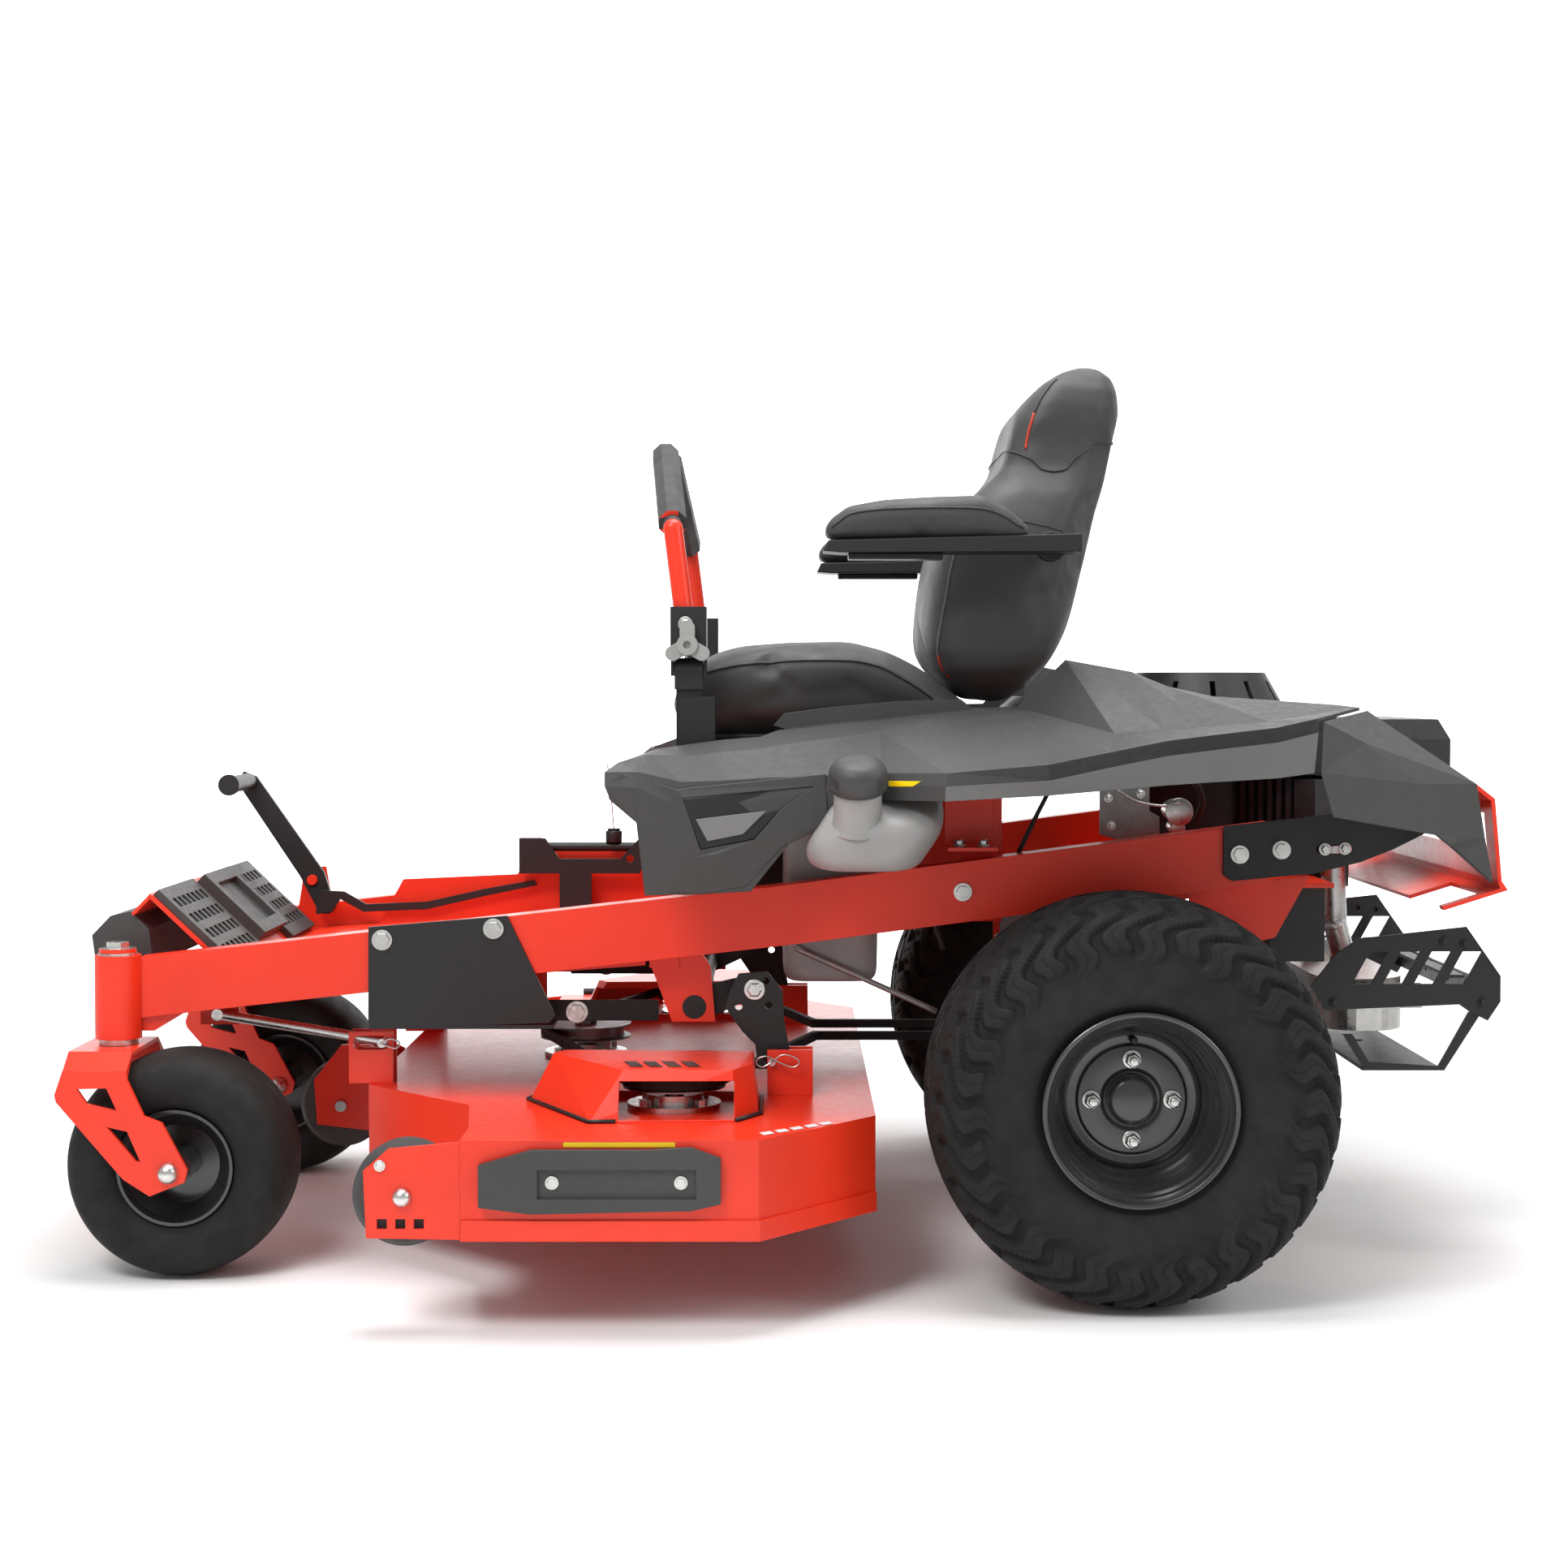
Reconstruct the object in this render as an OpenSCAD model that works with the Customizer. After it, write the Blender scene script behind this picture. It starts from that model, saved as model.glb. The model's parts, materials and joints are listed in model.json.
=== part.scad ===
// Zero turn mower: two caster wheels in front, two driven wheels behind, an operator's seat
// between two lap bars, a three spindle cutting deck under the frame and a vertical shaft
// engine behind the seat. Front is -X, the operator's left is -Y, the ground is Z = 0.

/* [Chassis] */
// Fore and aft place of the drive axle, from the machine's datum
drive_axle_x = 435; // [430:1:440]
// Fore and aft place of the caster axles, from the machine's datum
caster_axle_x = -793; // [-796:1:-790]
// Sideways distance from the centre to the middle of a side rail
rail_y = 320; // [318:1:322]
// Width of a side rail's tube
rail_w = 40; // [38:1:42]
// Height of a side rail's tube
rail_h = 80; // [78:1:82]
// Wall of the rail tubes
rail_wall = 4; // [3:0.5:5]

/* [Wheels] */
// Outer radius of a drive tyre
drive_r = 258; // [255:1:260]
// Width of a drive tyre
drive_w = 250; // [245:1:255]
// Sideways distance from the centre to the middle of a drive tyre
drive_y = 485; // [484:1:487]
// Outer radius of a caster tyre
caster_r = 148; // [145:1:149]
// Width of a caster tyre
caster_w = 150; // [146:1:154]
// Sideways distance from the centre to a caster's swivel axis
caster_y = 340; // [339:1:341]
// Distance the caster axle trails behind its swivel axis
caster_trail = 87; // [86:1:88]

/* [Cutting deck] */
// Half of the deck's width
deck_half = 672; // [670:1:674]
// Height of the deck's top above the ground, lifted for transport
deck_top = 236; // [234:1:238]
// Depth of the deck's skirt
deck_depth = 121; // [118:1:124]
// Thickness of the deck's sheet
deck_t = 5; // [4:0.5:5]
// Length of one blade from tip to tip
blade_l = 452; // [446:1:454]
// Sideways distance from the centre to an outer spindle
spindle_y = 436; // [435:1:437]

/* [Seat] */
// Width of the seat cushion
cushion_w = 496; // [480:2:500]
// Width of the backrest at its bolsters
back_w = 500; // [480:2:504]
// Width of the headrest
head_w = 380; // [350:5:400]

/* [Hidden] */
$fn = 48;

left = -1;
right = 1;
running = 0.05;      // radial clearance of a running fit
mid_x = 16.5;         // middle of the whole object's box, from the datum
mid_y = 103.65;

// Places shared by several sub-parts
swivel_x = caster_axle_x - caster_trail;
caster_tube = [310, 420];
deck_z = deck_top - deck_depth;
spindles = [[-141, -spindle_y], [-290, 0], [-141, spindle_y]];
crank = [606, 0];
shaft_x = -120;      // deck lift cross shaft
shaft_z = 345;
arm_x = -39;         // pin at the end of the lift arms
arm_z = 373;
hanger_z = 280;      // rear deck hanger pin
hanger_x = -16;
strut_front = [-770, 328];
strut_rear = [-545, 291];
pedal_pivot = [-743, 469];
pedal_low = [-722, 430];
seat_hinge = [-128, 690];
arm_pivot = [358, 961];
lever_pivot = [-112, 600];
swing_z = 800;
lap_y = 285;
seat_top = 709;
throttle_z = 738;
chute_hinge_z = 240;

hitch_x = 840;       // drawbar hole in the lower guard plate
hitch_r = 8;
kit_spacing = 120;   // two holes for a rear kit in the guard's end plate
kit_r = 5.5;

red = [0.90, 0.09, 0.02];
grey_plastic = [0.25, 0.25, 0.25];
black_metal = [0.06, 0.06, 0.06];
zinc = [0.72, 0.72, 0.72];

// ---------- helpers ----------

module at() translate([-mid_x, -mid_y, 0]) children();

module both() {
    children();
    mirror([0, 1, 0]) children();
}

// A flat plate whose outline lies in the XZ plane, from y0 towards +Y
module plate_xz(points, y0, t) {
    translate([0, y0 + t, 0]) rotate([90, 0, 0]) linear_extrude(t) polygon(points);
}

// A flat plate whose outline is drawn by the children in the XZ plane
module profile_xz(y0, t) {
    translate([0, y0 + t, 0]) rotate([90, 0, 0]) linear_extrude(t) children();
}

module rod_y(x, z, y0, y1, r) {
    translate([x, y0, z]) rotate([-90, 0, 0]) cylinder(r = r, h = y1 - y0);
}

module rod_x(x0, x1, y, z, r) {
    translate([x0, y, z]) rotate([0, 90, 0]) cylinder(r = r, h = x1 - x0);
}

module rod_z(x, y, z0, z1, r) {
    translate([x, y, z0]) cylinder(r = r, h = z1 - z0);
}

// A round bar between two points
module rod(a, b, r) {
    d = b - a;
    l = norm(d);
    translate(a) rotate([0, acos(d[2] / l), atan2(d[1], d[0])]) cylinder(r = r, h = l);
}

module box(lo, hi) {
    translate(lo) cube(hi - lo);
}

// A rectangle with round corners
module round_rect(lo, hi, r) {
    hull() {
        for (x = [lo[0] + r, hi[0] - r], y = [lo[1] + r, hi[1] - r])
            translate([x, y]) circle(r, $fn = 32);
    }
}

// A bolt head with its washer, on the face at y, pointing to the side s
module bolt_y(x, z, y, s, r = 9, h = 7) {
    translate([x, y, z]) rotate([-90 * s, 0, 0]) {
        cylinder(r = r * 1.35, h = 2);
        cylinder(r = r, h = h, $fn = 6);
    }
}

// Outward normals over a grid of points, for a skin of even thickness
function cell(g, i, j) = g[max(0, min(len(g) - 1, i))][max(0, min(len(g[0]) - 1, j))];
function grid_normal(g, i, j) =
    let (n = cross(cell(g, i + 1, j) - cell(g, i - 1, j), cell(g, i, j + 1) - cell(g, i, j - 1)))
    n / norm(n);

// A closed shell of thickness t under a grid of points; flip is true on a mirrored grid
module grid_skin(g, t, flip = false) {
    rows = len(g);
    cols = len(g[0]);
    n = rows * cols;
    sign = flip ? -1 : 1;
    outer = [for (i = [0:rows - 1], j = [0:cols - 1]) g[i][j]];
    inner = [for (i = [0:rows - 1], j = [0:cols - 1]) g[i][j] - sign * t * grid_normal(g, i, j)];
    tris = [for (i = [0:rows - 2], j = [0:cols - 2]) let (a = i * cols + j)
        each [[a, a + cols, a + cols + 1], [a, a + cols + 1, a + 1]]];
    rim = concat([for (j = [0:cols - 2]) [j, j + 1]],
        [for (i = [0:rows - 2]) [i * cols + cols - 1, (i + 1) * cols + cols - 1]],
        [for (j = [cols - 1:-1:1]) [(rows - 1) * cols + j, (rows - 1) * cols + j - 1]],
        [for (i = [rows - 1:-1:1]) [i * cols, (i - 1) * cols]]);
    faces = concat([for (f = tris) [f[2], f[1], f[0]]], [for (f = tris) f + [n, n, n]],
        [for (e = rim) each [[e[1], e[0], e[0] + n], [e[1], e[0] + n, e[1] + n]]]);
    polyhedron(concat(outer, inner), flip ? [for (f = faces) [f[2], f[1], f[0]]] : faces);
}

// A closed shell under a fan of triangles, thickened towards a point inside
module fan_skin(points, tris, centre, t, flip = false) {
    n = len(points);
    inner = [for (p = points) p + t * (centre - p) / norm(centre - p)];
    edges = [for (f = tris, k = [0:2]) [f[k], f[(k + 1) % 3]]];
    rim = [for (e = edges) if (len([for (o = edges) if (o[0] == e[1] && o[1] == e[0]) 1]) == 0) e];
    faces = concat([for (f = tris) [f[2], f[1], f[0]]], [for (f = tris) f + [n, n, n]],
        [for (e = rim) each [[e[0], e[1], e[1] + n], [e[0], e[1] + n, e[0] + n]]]);
    polyhedron(concat(points, inner), flip ? [for (f = faces) [f[2], f[1], f[0]]] : faces);
}

function side(points, s) = [for (p = points) [p[0], s * p[1], p[2]]];

// ---------- chassis ----------

// Height of a rail's top edge at a given x: it climbs to the kink at x = 0, then less steeply
function rail_top(x) = x < 0 ? 512 + 0.1127 * x : 512 + 0.13 * x;

rail_front = -853;
rail_rear = 640;

module rail_outline(inset) {
    polygon([[rail_front, rail_top(rail_front) - inset], [0, rail_top(0) - inset],
        [rail_rear, rail_top(rail_rear) - inset],
        [rail_rear, rail_top(rail_rear) - rail_h + inset], [0, rail_top(0) - rail_h + inset],
        [rail_front, rail_top(rail_front) - rail_h + inset]]);
}

module rail_gusset() {
    plate_xz([[540, 505], [700, 522], [655, 440], [600, 425], [540, 425]], rail_y - 15, 5);
}

module main_frame() {
    inner_y = rail_y - rail_w / 2;
    color(red) at() difference() {
        union() {
            both() {
                difference() {
                    profile_xz(inner_y, rail_w) rail_outline(0);
                    profile_xz(inner_y + rail_wall, rail_w - 2 * rail_wall)
                        rail_outline(rail_wall);
                }
                rod_z(swivel_x, caster_y, caster_tube[0], caster_tube[1], 30);
                plate_xz([[-868, 318], [-868, 415], [-835, 416], [-790, 345], [-835, 318]],
                    caster_y - 16, 8);
                rail_gusset();
                box([330, inner_y - 24, 330], [540, inner_y - 18, 480]);
                box([330, inner_y - 24, 474], [540, inner_y + 1, 480]);
            }
            box([-838, -inner_y - 1, 345], [-798, inner_y + 1, 385]);
            box([-180, -inner_y - 1, 398], [-140, inner_y + 1, 422]);
            box([305, -inner_y - 1, 475], [345, inner_y + 1, 505]);
            box([440, -inner_y - 1, 505], [735, inner_y + 1, 511]);
            both() plate_xz([[-798, 350], [-745, 350], [-745, 312], [-798, 312]], 226, 5);
            both() box([-798, 226, 346], [-745, 301, 352]);
            plate_xz([[-770, 424], [-716, 430], [-726, 488], [-760, 488]], inner_y, 6);
            rod_y(pedal_pivot[0], pedal_pivot[1], inner_y - 30, inner_y + 6, 8);
            both() plate_xz([[-178, 421], [-178, 400], [-150, 325], [-92, 325], [-98, 400],
                [-112, 421]], inner_y - 6, 5);
        }
        both() rod_z(swivel_x, caster_y, caster_tube[0] - 1, caster_tube[1] + 1, 25.4);
        both() rod_y(strut_front[0], strut_front[1], 220, 240, 8 + running);
        rod_z(crank[0], crank[1], 500, 515, 90);
        both() rod_y(shaft_x, shaft_z, inner_y - 8, inner_y + 1, 16 + running);
        both() for (x = [540, 672]) rod_z(x, 120, 500, 515, 6);
        rod_z(480, 0, 500, 515, 30);
    }
}

// Floor between the rails, with the sloping footrest at its front end
module floor_pan() {
    half = 292;
    color(red) at() union() {
        profile_xz(-half, 2 * half) polygon([[-738, 392], [-738, 388], [-136, 428], [-136, 432]]);
        profile_xz(-half, 2 * half) polygon([[-850, 497], [-853, 493], [-738, 383], [-735, 387]]);
        profile_xz(-half, 2 * half) polygon([[-853, 493], [-875, 470], [-872, 467], [-850, 489]]);
        both() {
            plate_xz([[-700, 392], [-186, 427], [-186, 400], [-700, 362]], half - 6, 4);
            plate_xz([[-355, 416], [-355, 330], [-320, 330], [-320, 418]], half - 26, 4);
        }
        plate_xz([[-640, 396], [-600, 470], [-420, 478], [-400, 512], [-180, 525], [-150, 428]],
            half - 16, 3);
    }
}

// One tread pad: a plate with rows of slots, lying on the footrest
module tread_pad(slots) {
    rows = 4;
    difference() {
        box([4, 0, 0], [150, 22 + 24 * slots, 10]);
        for (i = [0:rows - 1], j = [0:slots - 1])
            box([24 + i * 30, 16 + j * 24, 5], [40 + i * 30, 32 + j * 24, 11]);
    }
}

module footrest_trim() {
    slope = atan2(110, 115);
    color(grey_plastic) at() {
        translate([-850, 0, 497]) rotate([0, slope, 0]) {
            translate([0, 86, 0.2]) tread_pad(6);
            translate([0, -285, 0.2]) tread_pad(7);
            translate([10, -80, 0.2]) difference() {
                box([0, 0, 0], [120, 160, 22]);
                box([20, 20, 12], [100, 140, 23]);
            }
        }
        difference() {
            profile_xz(-285, 570) polygon([[-925, 400], [-930, 440], [-905, 466], [-877.5, 472.4],
                [-853.5, 448.4], [-848, 400]]);
            profile_xz(-279, 558) polygon([[-919, 390], [-924, 438], [-902, 460], [-882, 463],
                [-862, 443], [-854, 390]]);
        }
    }
}

guard_outline = [[-548, 457], [-365, 472], [-302, 340], [-310, 330], [-545, 322], [-549, 330]];

// Black plates on the frame: rail guards, rear rail brackets and the height selector
module frame_plates() {
    rail_out = rail_y + rail_w / 2;
    color(black_metal) at() {
        both() difference() {
            union() {
                plate_xz(guard_outline, rail_out + 0.1, 5);
                box([-548, rail_out - 55, 322], [-305, rail_out + 5, 327]);
            }
            for (p = [[-530, 440], [-383, 455]]) rod_y(p[0], p[1], rail_out - 1, rail_out + 8, 5);
        }
        both() difference() {
            plate_xz([[579, 590], [775, 612], [850, 630], [907.5, 628], [908, 613], [803, 560],
                [760, 543], [700, 528], [590, 518], [579, 526]], rail_out + 0.1, 5);
            for (x = [600, 655]) rod_y(x, x == 600 ? 553 : 559, rail_out - 1, rail_out + 8, 5);
            translate([725, rail_out + 8, 560]) rotate([90, 0, 0]) linear_extrude(10)
                round_rect([-24, -6], [24, 6], 5.9);
        }
        height_selector();
        both() plate_xz([[-335, 322], [-335, 350], [-170, 350], [-170, 322]], 260.9, 5);
    }
}

// Bracket for the cutting height, with its graduated slot and the pin's cup
module height_selector() {
    difference() {
        union() {
            plate_xz([[-413, 487], [-413, 537], [-372, 537], [-350, 505], [-255, 505],
                [-223, 540], [-200, 540], [-200, 470], [-222, 487]], 236, 5);
            box([-413, 236, 532], [-380, 262, 537]);
            box([-413, 236, 482], [-225, 262, 487]);
            plate_xz([[-350, 500], [-300, 500], [-300, 421.4], [-350, 418.2]], 236, 5);
        }
        rod_y(-240, 505, 230, 245, 6 + running);
    }
    rod_x(-380, -228, 248, 523, 7);
}

// ---------- seat frame and bodywork ----------

// Box under the seat, of plates welded round an open bay; the left wall and the rear wall have
// windows, and the bottom is open
module seat_frame() {
    half = 246;
    wall = 4;
    seam = 0.1;          // gap at each welded seam
    front = -126;
    rear = 296;
    low = 455;
    top = 683;
    under = top - wall - seam;
    near = front + wall + seam;
    far = rear - wall - seam;
    color(red) at() {
        box([front, -half, top - wall], [rear, half, top]);
        box([front, -half, low], [front + wall, half, under]);
        box([near, half - wall, low], [far, half, under]);
        box([near, -half, low], [-80, wall - half, under]);
        box([245, -half, low], [far, wall - half, under]);
        box([-80 + seam, -half, 660], [245 - seam, wall - half, under]);
        box([rear - wall, -half, low], [rear, half, 520]);
        box([rear - wall, -half, 650], [rear, half, under]);
        both() box([rear - wall, 200, 520 + seam], [rear, half, 650 - seam]);
        profile_xz(-half, 2 * half) polygon([[front - seam, 683], [-190, 672], [-190, 668],
            [front - seam, 679]]);
        both() {
            box([218, half + seam, 560], [284, half + 5, 643]);
            box([218, half + 5 + seam, 556], [284, 330, 561]);
            box([218, half + 5 + seam, 640], [284, 300, 645]);
            box([218, half + 7, 645 + seam], [284, half + 12, 712]);
            rod_y(lever_pivot[0], lever_pivot[1], half + seam, lap_y + 18, 8);
            for (x = [-122, 248]) box([x, half + seam, 470], [x + 42, 299.8, 476]);
            difference() {
                box([seat_hinge[0] - 12, 231, top + seam], [seat_hinge[0] + 14, 237, 701]);
                rod_y(seat_hinge[0], seat_hinge[1] + 3, 230, 238, 6 + running);
            }
        }
    }
}

// Stations along the fender from front to rear: inner wall, inner ridge, crease, outer edge,
// groove and lower lip
fender_stations = [
    [[-207, 326, 652], [-206, 326, 674], [-214, 380, 672], [-229, 430, 661], [-228, 433, 648], [-220, 430, 630]],
    [[-168, 326, 660], [-168, 328, 688], [-176, 385, 682], [-185, 446, 662], [-186, 449, 645], [-186, 445, 601]],
    [[-125, 326, 664], [-125, 328, 694], [-125, 390, 680], [-130, 449, 650], [-140, 452, 625], [-177, 447, 508]],
    [[-80, 326, 668], [-80, 328, 700], [-80, 390, 686], [-80, 452, 652], [-85, 455, 625], [-110, 450, 510]],
    [[-30, 326, 672], [-30, 328, 704], [-30, 390, 690], [-30, 454, 655], [-30, 457, 630], [-42, 452, 514]],
    [[20, 264, 680], [20, 270, 722], [20, 380, 698], [20, 456, 657], [20, 459, 640], [20, 454, 592]],
    [[68, 264, 682], [68, 270, 728], [68, 380, 704], [66, 458, 659], [66, 461, 645], [62, 456, 616]],
    [[125, 264, 684], [125, 270, 733], [125, 370, 712], [125, 478, 662], [125, 482, 650], [122, 476, 632]],
    [[200, 264, 688], [200, 270, 741], [200, 360, 724], [200, 548, 664], [200, 552, 652], [200, 545, 634]],
    [[313, 264, 700], [313, 276, 743], [325, 350, 738], [325, 560, 675], [325, 563, 660], [325, 554, 642]],
    [[377, 264, 735], [377, 290, 806], [418, 470, 711], [400, 560, 690], [400, 563, 676], [400, 554, 648]],
    [[461, 280, 740], [461, 300, 790], [480, 480, 716], [470, 560, 704], [470, 563, 690], [470, 554, 654]],
    [[510, 290, 738], [510, 305, 770], [535, 487, 720], [535, 557, 712], [535, 560, 698], [535, 552, 658]],
    [[570, 296, 730], [570, 306, 757], [605, 500, 727], [605, 552, 720], [605, 556, 706], [605, 548, 662]],
    [[735, 300, 716], [735, 310, 746], [744, 396, 743], [658, 544, 731], [656, 548, 718], [653, 543, 668]]];

module fender(s) {
    grid_skin([for (row = fender_stations) side(row, s)], 4, s > 0);
}

// Raised rail moulded beside the cushion, sunk a little into the skin
module fender_rail() {
    profile_xz(276, 24) polygon([[-14, 722], [0, 738], [60, 746], [150, 754], [236, 757],
        [252, 744], [252, 738], [200, 734], [120, 726], [60, 718], [20, 712]]);
}

module fender_left() {
    color(grey_plastic) at() {
        fender(left);
        mirror([0, 1, 0]) fender_rail();
    }
}

module fender_right() {
    color(grey_plastic) at() {
        fender(right);
        fender_rail();
        console();
    }
}

// Control console on the right hand fender
module console() {
    difference() {
        box([60, 330, 690], [260, 430, 762]);
        box([66, 336, 680], [254, 424, 756]);
        rod_z(110, 400, 750, 770, 6 + running);
        rod_z(160, 400, 750, 770, 8 + running);
        box([90, 345, 750], [230, 352, 770]);
    }
}

cowl_points = [[753, 400, 743], [664, 546, 731], [660, 553, 668], [722, 520, 704],
    [801, 500, 652], [678, 540, 614], [823, 480, 588], [882, 446, 650], [896, 438, 580],
    [907, 436, 524], [850, 450, 572]];
cowl_tris = [[0, 1, 3], [1, 2, 3], [2, 4, 3], [0, 3, 7], [3, 4, 7], [2, 5, 4], [5, 6, 4],
    [4, 6, 7], [6, 8, 7], [6, 10, 8], [10, 9, 8]];

module cowl(s) {
    fan_skin(side(cowl_points, s), cowl_tris, [740, s * 250, 520], 5, s > 0);
}

module rear_cowl() {
    color(grey_plastic) at() {
        cowl(left);
        cowl(right);
    }
}

// Bent plate round the back of the engine, open in the middle
module rear_bumper() {
    half = 418;
    color(red) at() difference() {
        profile_xz(-half, 2 * half) polygon([[764, 722], [886, 652], [914, 630], [924, 524],
            [932, 512], [850, 486], [848, 491], [922, 514], [919, 524], [909, 627], [884, 646],
            [762, 717]]);
        box([740, -300, 560], [960, 300, 760]);
        box([860, -380, 545], [960, -320, 610]);
        box([860, 320, 545], [960, 380, 610]);
        box([830, -400, 470], [905, -250, 530]);
        box([830, 250, 470], [905, 400, 530]);
    }
}

// ---------- engine and drive ----------

module guard_side() {
    slots = 4;
    difference() {
        polygon([[716, 367], [749, 410], [781, 432], [927, 448], [974, 381], [974, 346],
            [957, 320], [934, 331], [918, 342], [735, 334]]);
        for (i = [0:slots - 1])
            translate([772 + i * 42, 370]) polygon([[0, 0], [26, 0], [50, 44], [24, 44]]);
        for (p = [[748, 345], [950, 345], [925, 425], [897, 428]])
            translate(p) circle(r = 4);
    }
}

module engine_guard() {
    color(black_metal) at() {
        both() profile_xz(247, 4) guard_side();
        box([905, -247, 378], [925, 247, 382]);
        difference() {
            box([955, -247, 340], [960, 247, 372]);
            both() rod_x(950, 965, kit_spacing / 2, 356, kit_r);
        }
        both() {
            plate_xz([[934, 331], [947, 326], [900, 251], [890, 251]], 238, 8);
            plate_xz([[897, 251], [788, 257], [762, 300], [775, 300], [797, 263], [893, 257]],
                238, 8);
        }
        difference() {
            box([788, -246, 251], [893, 246, 256]);
            rod_z(hitch_x, 0, 250, 257, hitch_r);
        }
        both() box([660, 243, 400], [735, 247, 504.9]);
    }
}

module engine_block() {
    color(black_metal) at() difference() {
        union() {
            rod_z(crank[0], crank[1], 511.1, 560, 118);
            rod_z(crank[0], crank[1], 560, 640, 104);
            for (s = [left, right]) translate([crank[0] + 10, 0, 600]) rotate([0, 0, s * 45]) {
                for (i = [0:5]) translate([98 + i * 15, -58, -45]) cube([8, 116, 92]);
                rotate([0, 90, 0]) cylinder(r = 44, h = 185);
                translate([185, -55, -44]) cube([34, 110, 90]);
            }
            rod_z(772, -80, 490, 560, 33);
            box([700, -100, 512], [775, -60, 540]);
        }
        rod_z(crank[0], crank[1], 500, 525, 30);
    }
}

module engine_shroud() {
    shroud_r = 168;
    color(black_metal) at() {
        difference() {
            union() {
                translate([crank[0], 0, 660]) cylinder(r1 = shroud_r + 26, r2 = shroud_r, h = 70);
                translate([crank[0] + 60, -190, 655]) cube([140, 380, 62]);
            }
            translate([crank[0], 0, 650]) cylinder(r = 120, h = 90);
            translate([crank[0] + 66, -184, 650]) cube([128, 368, 61]);
        }
        fan_guard();
        air_filter();
    }
}

// Domed guard over the fan: rings on a crossed frame
module fan_guard() {
    difference() {
        translate([crank[0], 0, 730]) cylinder(r1 = 128, r2 = 92, h = 64);
        translate([crank[0], 0, 729]) cylinder(r1 = 122, r2 = 86, h = 60);
        for (a = [0:30:330]) rotate_about(crank[0], 0, a)
            translate([crank[0] + 30, -4, 725]) cube([110, 8, 56]);
    }
}

module rotate_about(x, y, a) {
    translate([x, y, 0]) rotate([0, 0, a]) translate([-x, -y, 0]) children();
}

module air_filter() {
    hull() {
        box([822, -150, 640], [930, 150, 700]);
        box([830, -140, 640], [915, 140, 728]);
    }
}

module muffler() {
    color(zinc) at() {
        difference() {
            hull() for (y = [-150, 150]) rod_z(800, y, 300, 372, 62, $fn = 32);
            hull() for (y = [-149, 149]) rod_z(800, y, 303, 369, 58, $fn = 32);
        }
        for (s = [left, right]) {
            rod([766, s * 150, 552], [770, s * 150, 452], 17);
            translate([770, s * 150, 450]) sphere(r = 17.6);
            rod([770, s * 150, 450], [796, s * 92, 392], 16.8);
            rod_z(798, s * 90, 370, 396, 20);
        }
        rod_x(860, 905, -100, 335, 18);
    }
}

module battery() {
    color(black_metal) at() {
        box([-100, -60, 460], [96, 72, 640]);
        for (y = [-40, 52]) rod_z(-70, y, 640, 654, 9);
    }
}

// Both hydrostatic transaxles, each with its pump pulley, fan and axle housing, and their belt
module transaxles() {
    axle_z = drive_r;
    pump = [400, 150];
    color([0.35, 0.35, 0.36]) at() {
        both() difference() {
            union() {
                box([360, 85, 205], [500, 215, 320]);
                rod_y(drive_axle_x, axle_z, 200, 352, 42);
                rod_y(drive_axle_x, axle_z, 352, 360, 58);
                for (c = [[320, 362, 20], [362, 364, 62], [364, 380, 50], [380, 382, 62],
                    [382, 394, 78]])
                    rod_z(pump[0], pump[1], c[0], c[1], c[2]);
                for (z = [215:22:305]) box([345, 90, z], [515, 205, z + 8]);
                box([340, 210, 300], [540, 274, 320]);
                box([340, 270, 319], [540, 275.9, 470]);
            }
            rod_y(drive_axle_x, axle_z, 330, 361, 20 + running);
        }
        translate([0, 0, 366]) linear_extrude(12) difference() {
            pump_belt(51);
            pump_belt(61);
        }
    }
}

// Outline of the pump belt round the crank pulley and both pump pulleys
module pump_belt(r) {
    grow = 112 - r;
    hull() {
        translate(crank) circle(r = grow, $fn = 32);
        for (y = [-150, 150]) translate([400, y]) circle(r = grow, $fn = 32);
    }
}

module frame_hardware() {
    rail_out = rail_y + rail_w / 2;
    color(zinc) at() both() {
        for (z = [[302, 322], [408, 423]]) difference() {
            rod_z(swivel_x, caster_y, z[0], z[1], 25.3);
            rod_z(swivel_x, caster_y, z[0] - 1, z[1] + 1, 12.7 + running);
        }
        for (p = [[-530, 440], [-383, 455]]) bolt_y(p[0], p[1], rail_out + 5.2, 1, 10);
        for (p = [[600, 553], [655, 559]]) bolt_y(p[0], p[1], rail_out + 5.2, 1, 9);
        bolt_y(236, 503, rail_out + 0.1, 1, 9);
        bolt_y(-280, 334, 266, 1, 11);
    }
}

// A tank's block with its upright corners round
module tank_block(lo, hi, r) {
    translate([0, 0, lo[2]]) linear_extrude(hi[2] - lo[2])
        round_rect([lo[0], lo[1]], [hi[0], hi[1]], r);
}

module tank_body() {
    tank_block([42, -528, 540], [205, -345, 598], 28);
    tank_block([45, -436, 590], [200, -345, 640], 28);
    tank_block([-2, -284, 373], [127, -193, 598], 20);
    box([50, -400, 545], [100, -225, 590]);
}

neck_at = [92, -512, 640];
neck_tilt = 20;

module fuel_tank() {
    color([0.85, 0.85, 0.82, 0.8]) at() {
        difference() {
            union() {
                tank_body();
                translate(neck_at) rotate([neck_tilt, 0, 0]) translate([0, 0, -50])
                    cylinder(r = 27, h = 66);
            }
            translate(neck_at) rotate([neck_tilt, 0, 0]) translate([0, 0, -40])
                cylinder(r = 22, h = 70);
        }
    }
}

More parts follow.
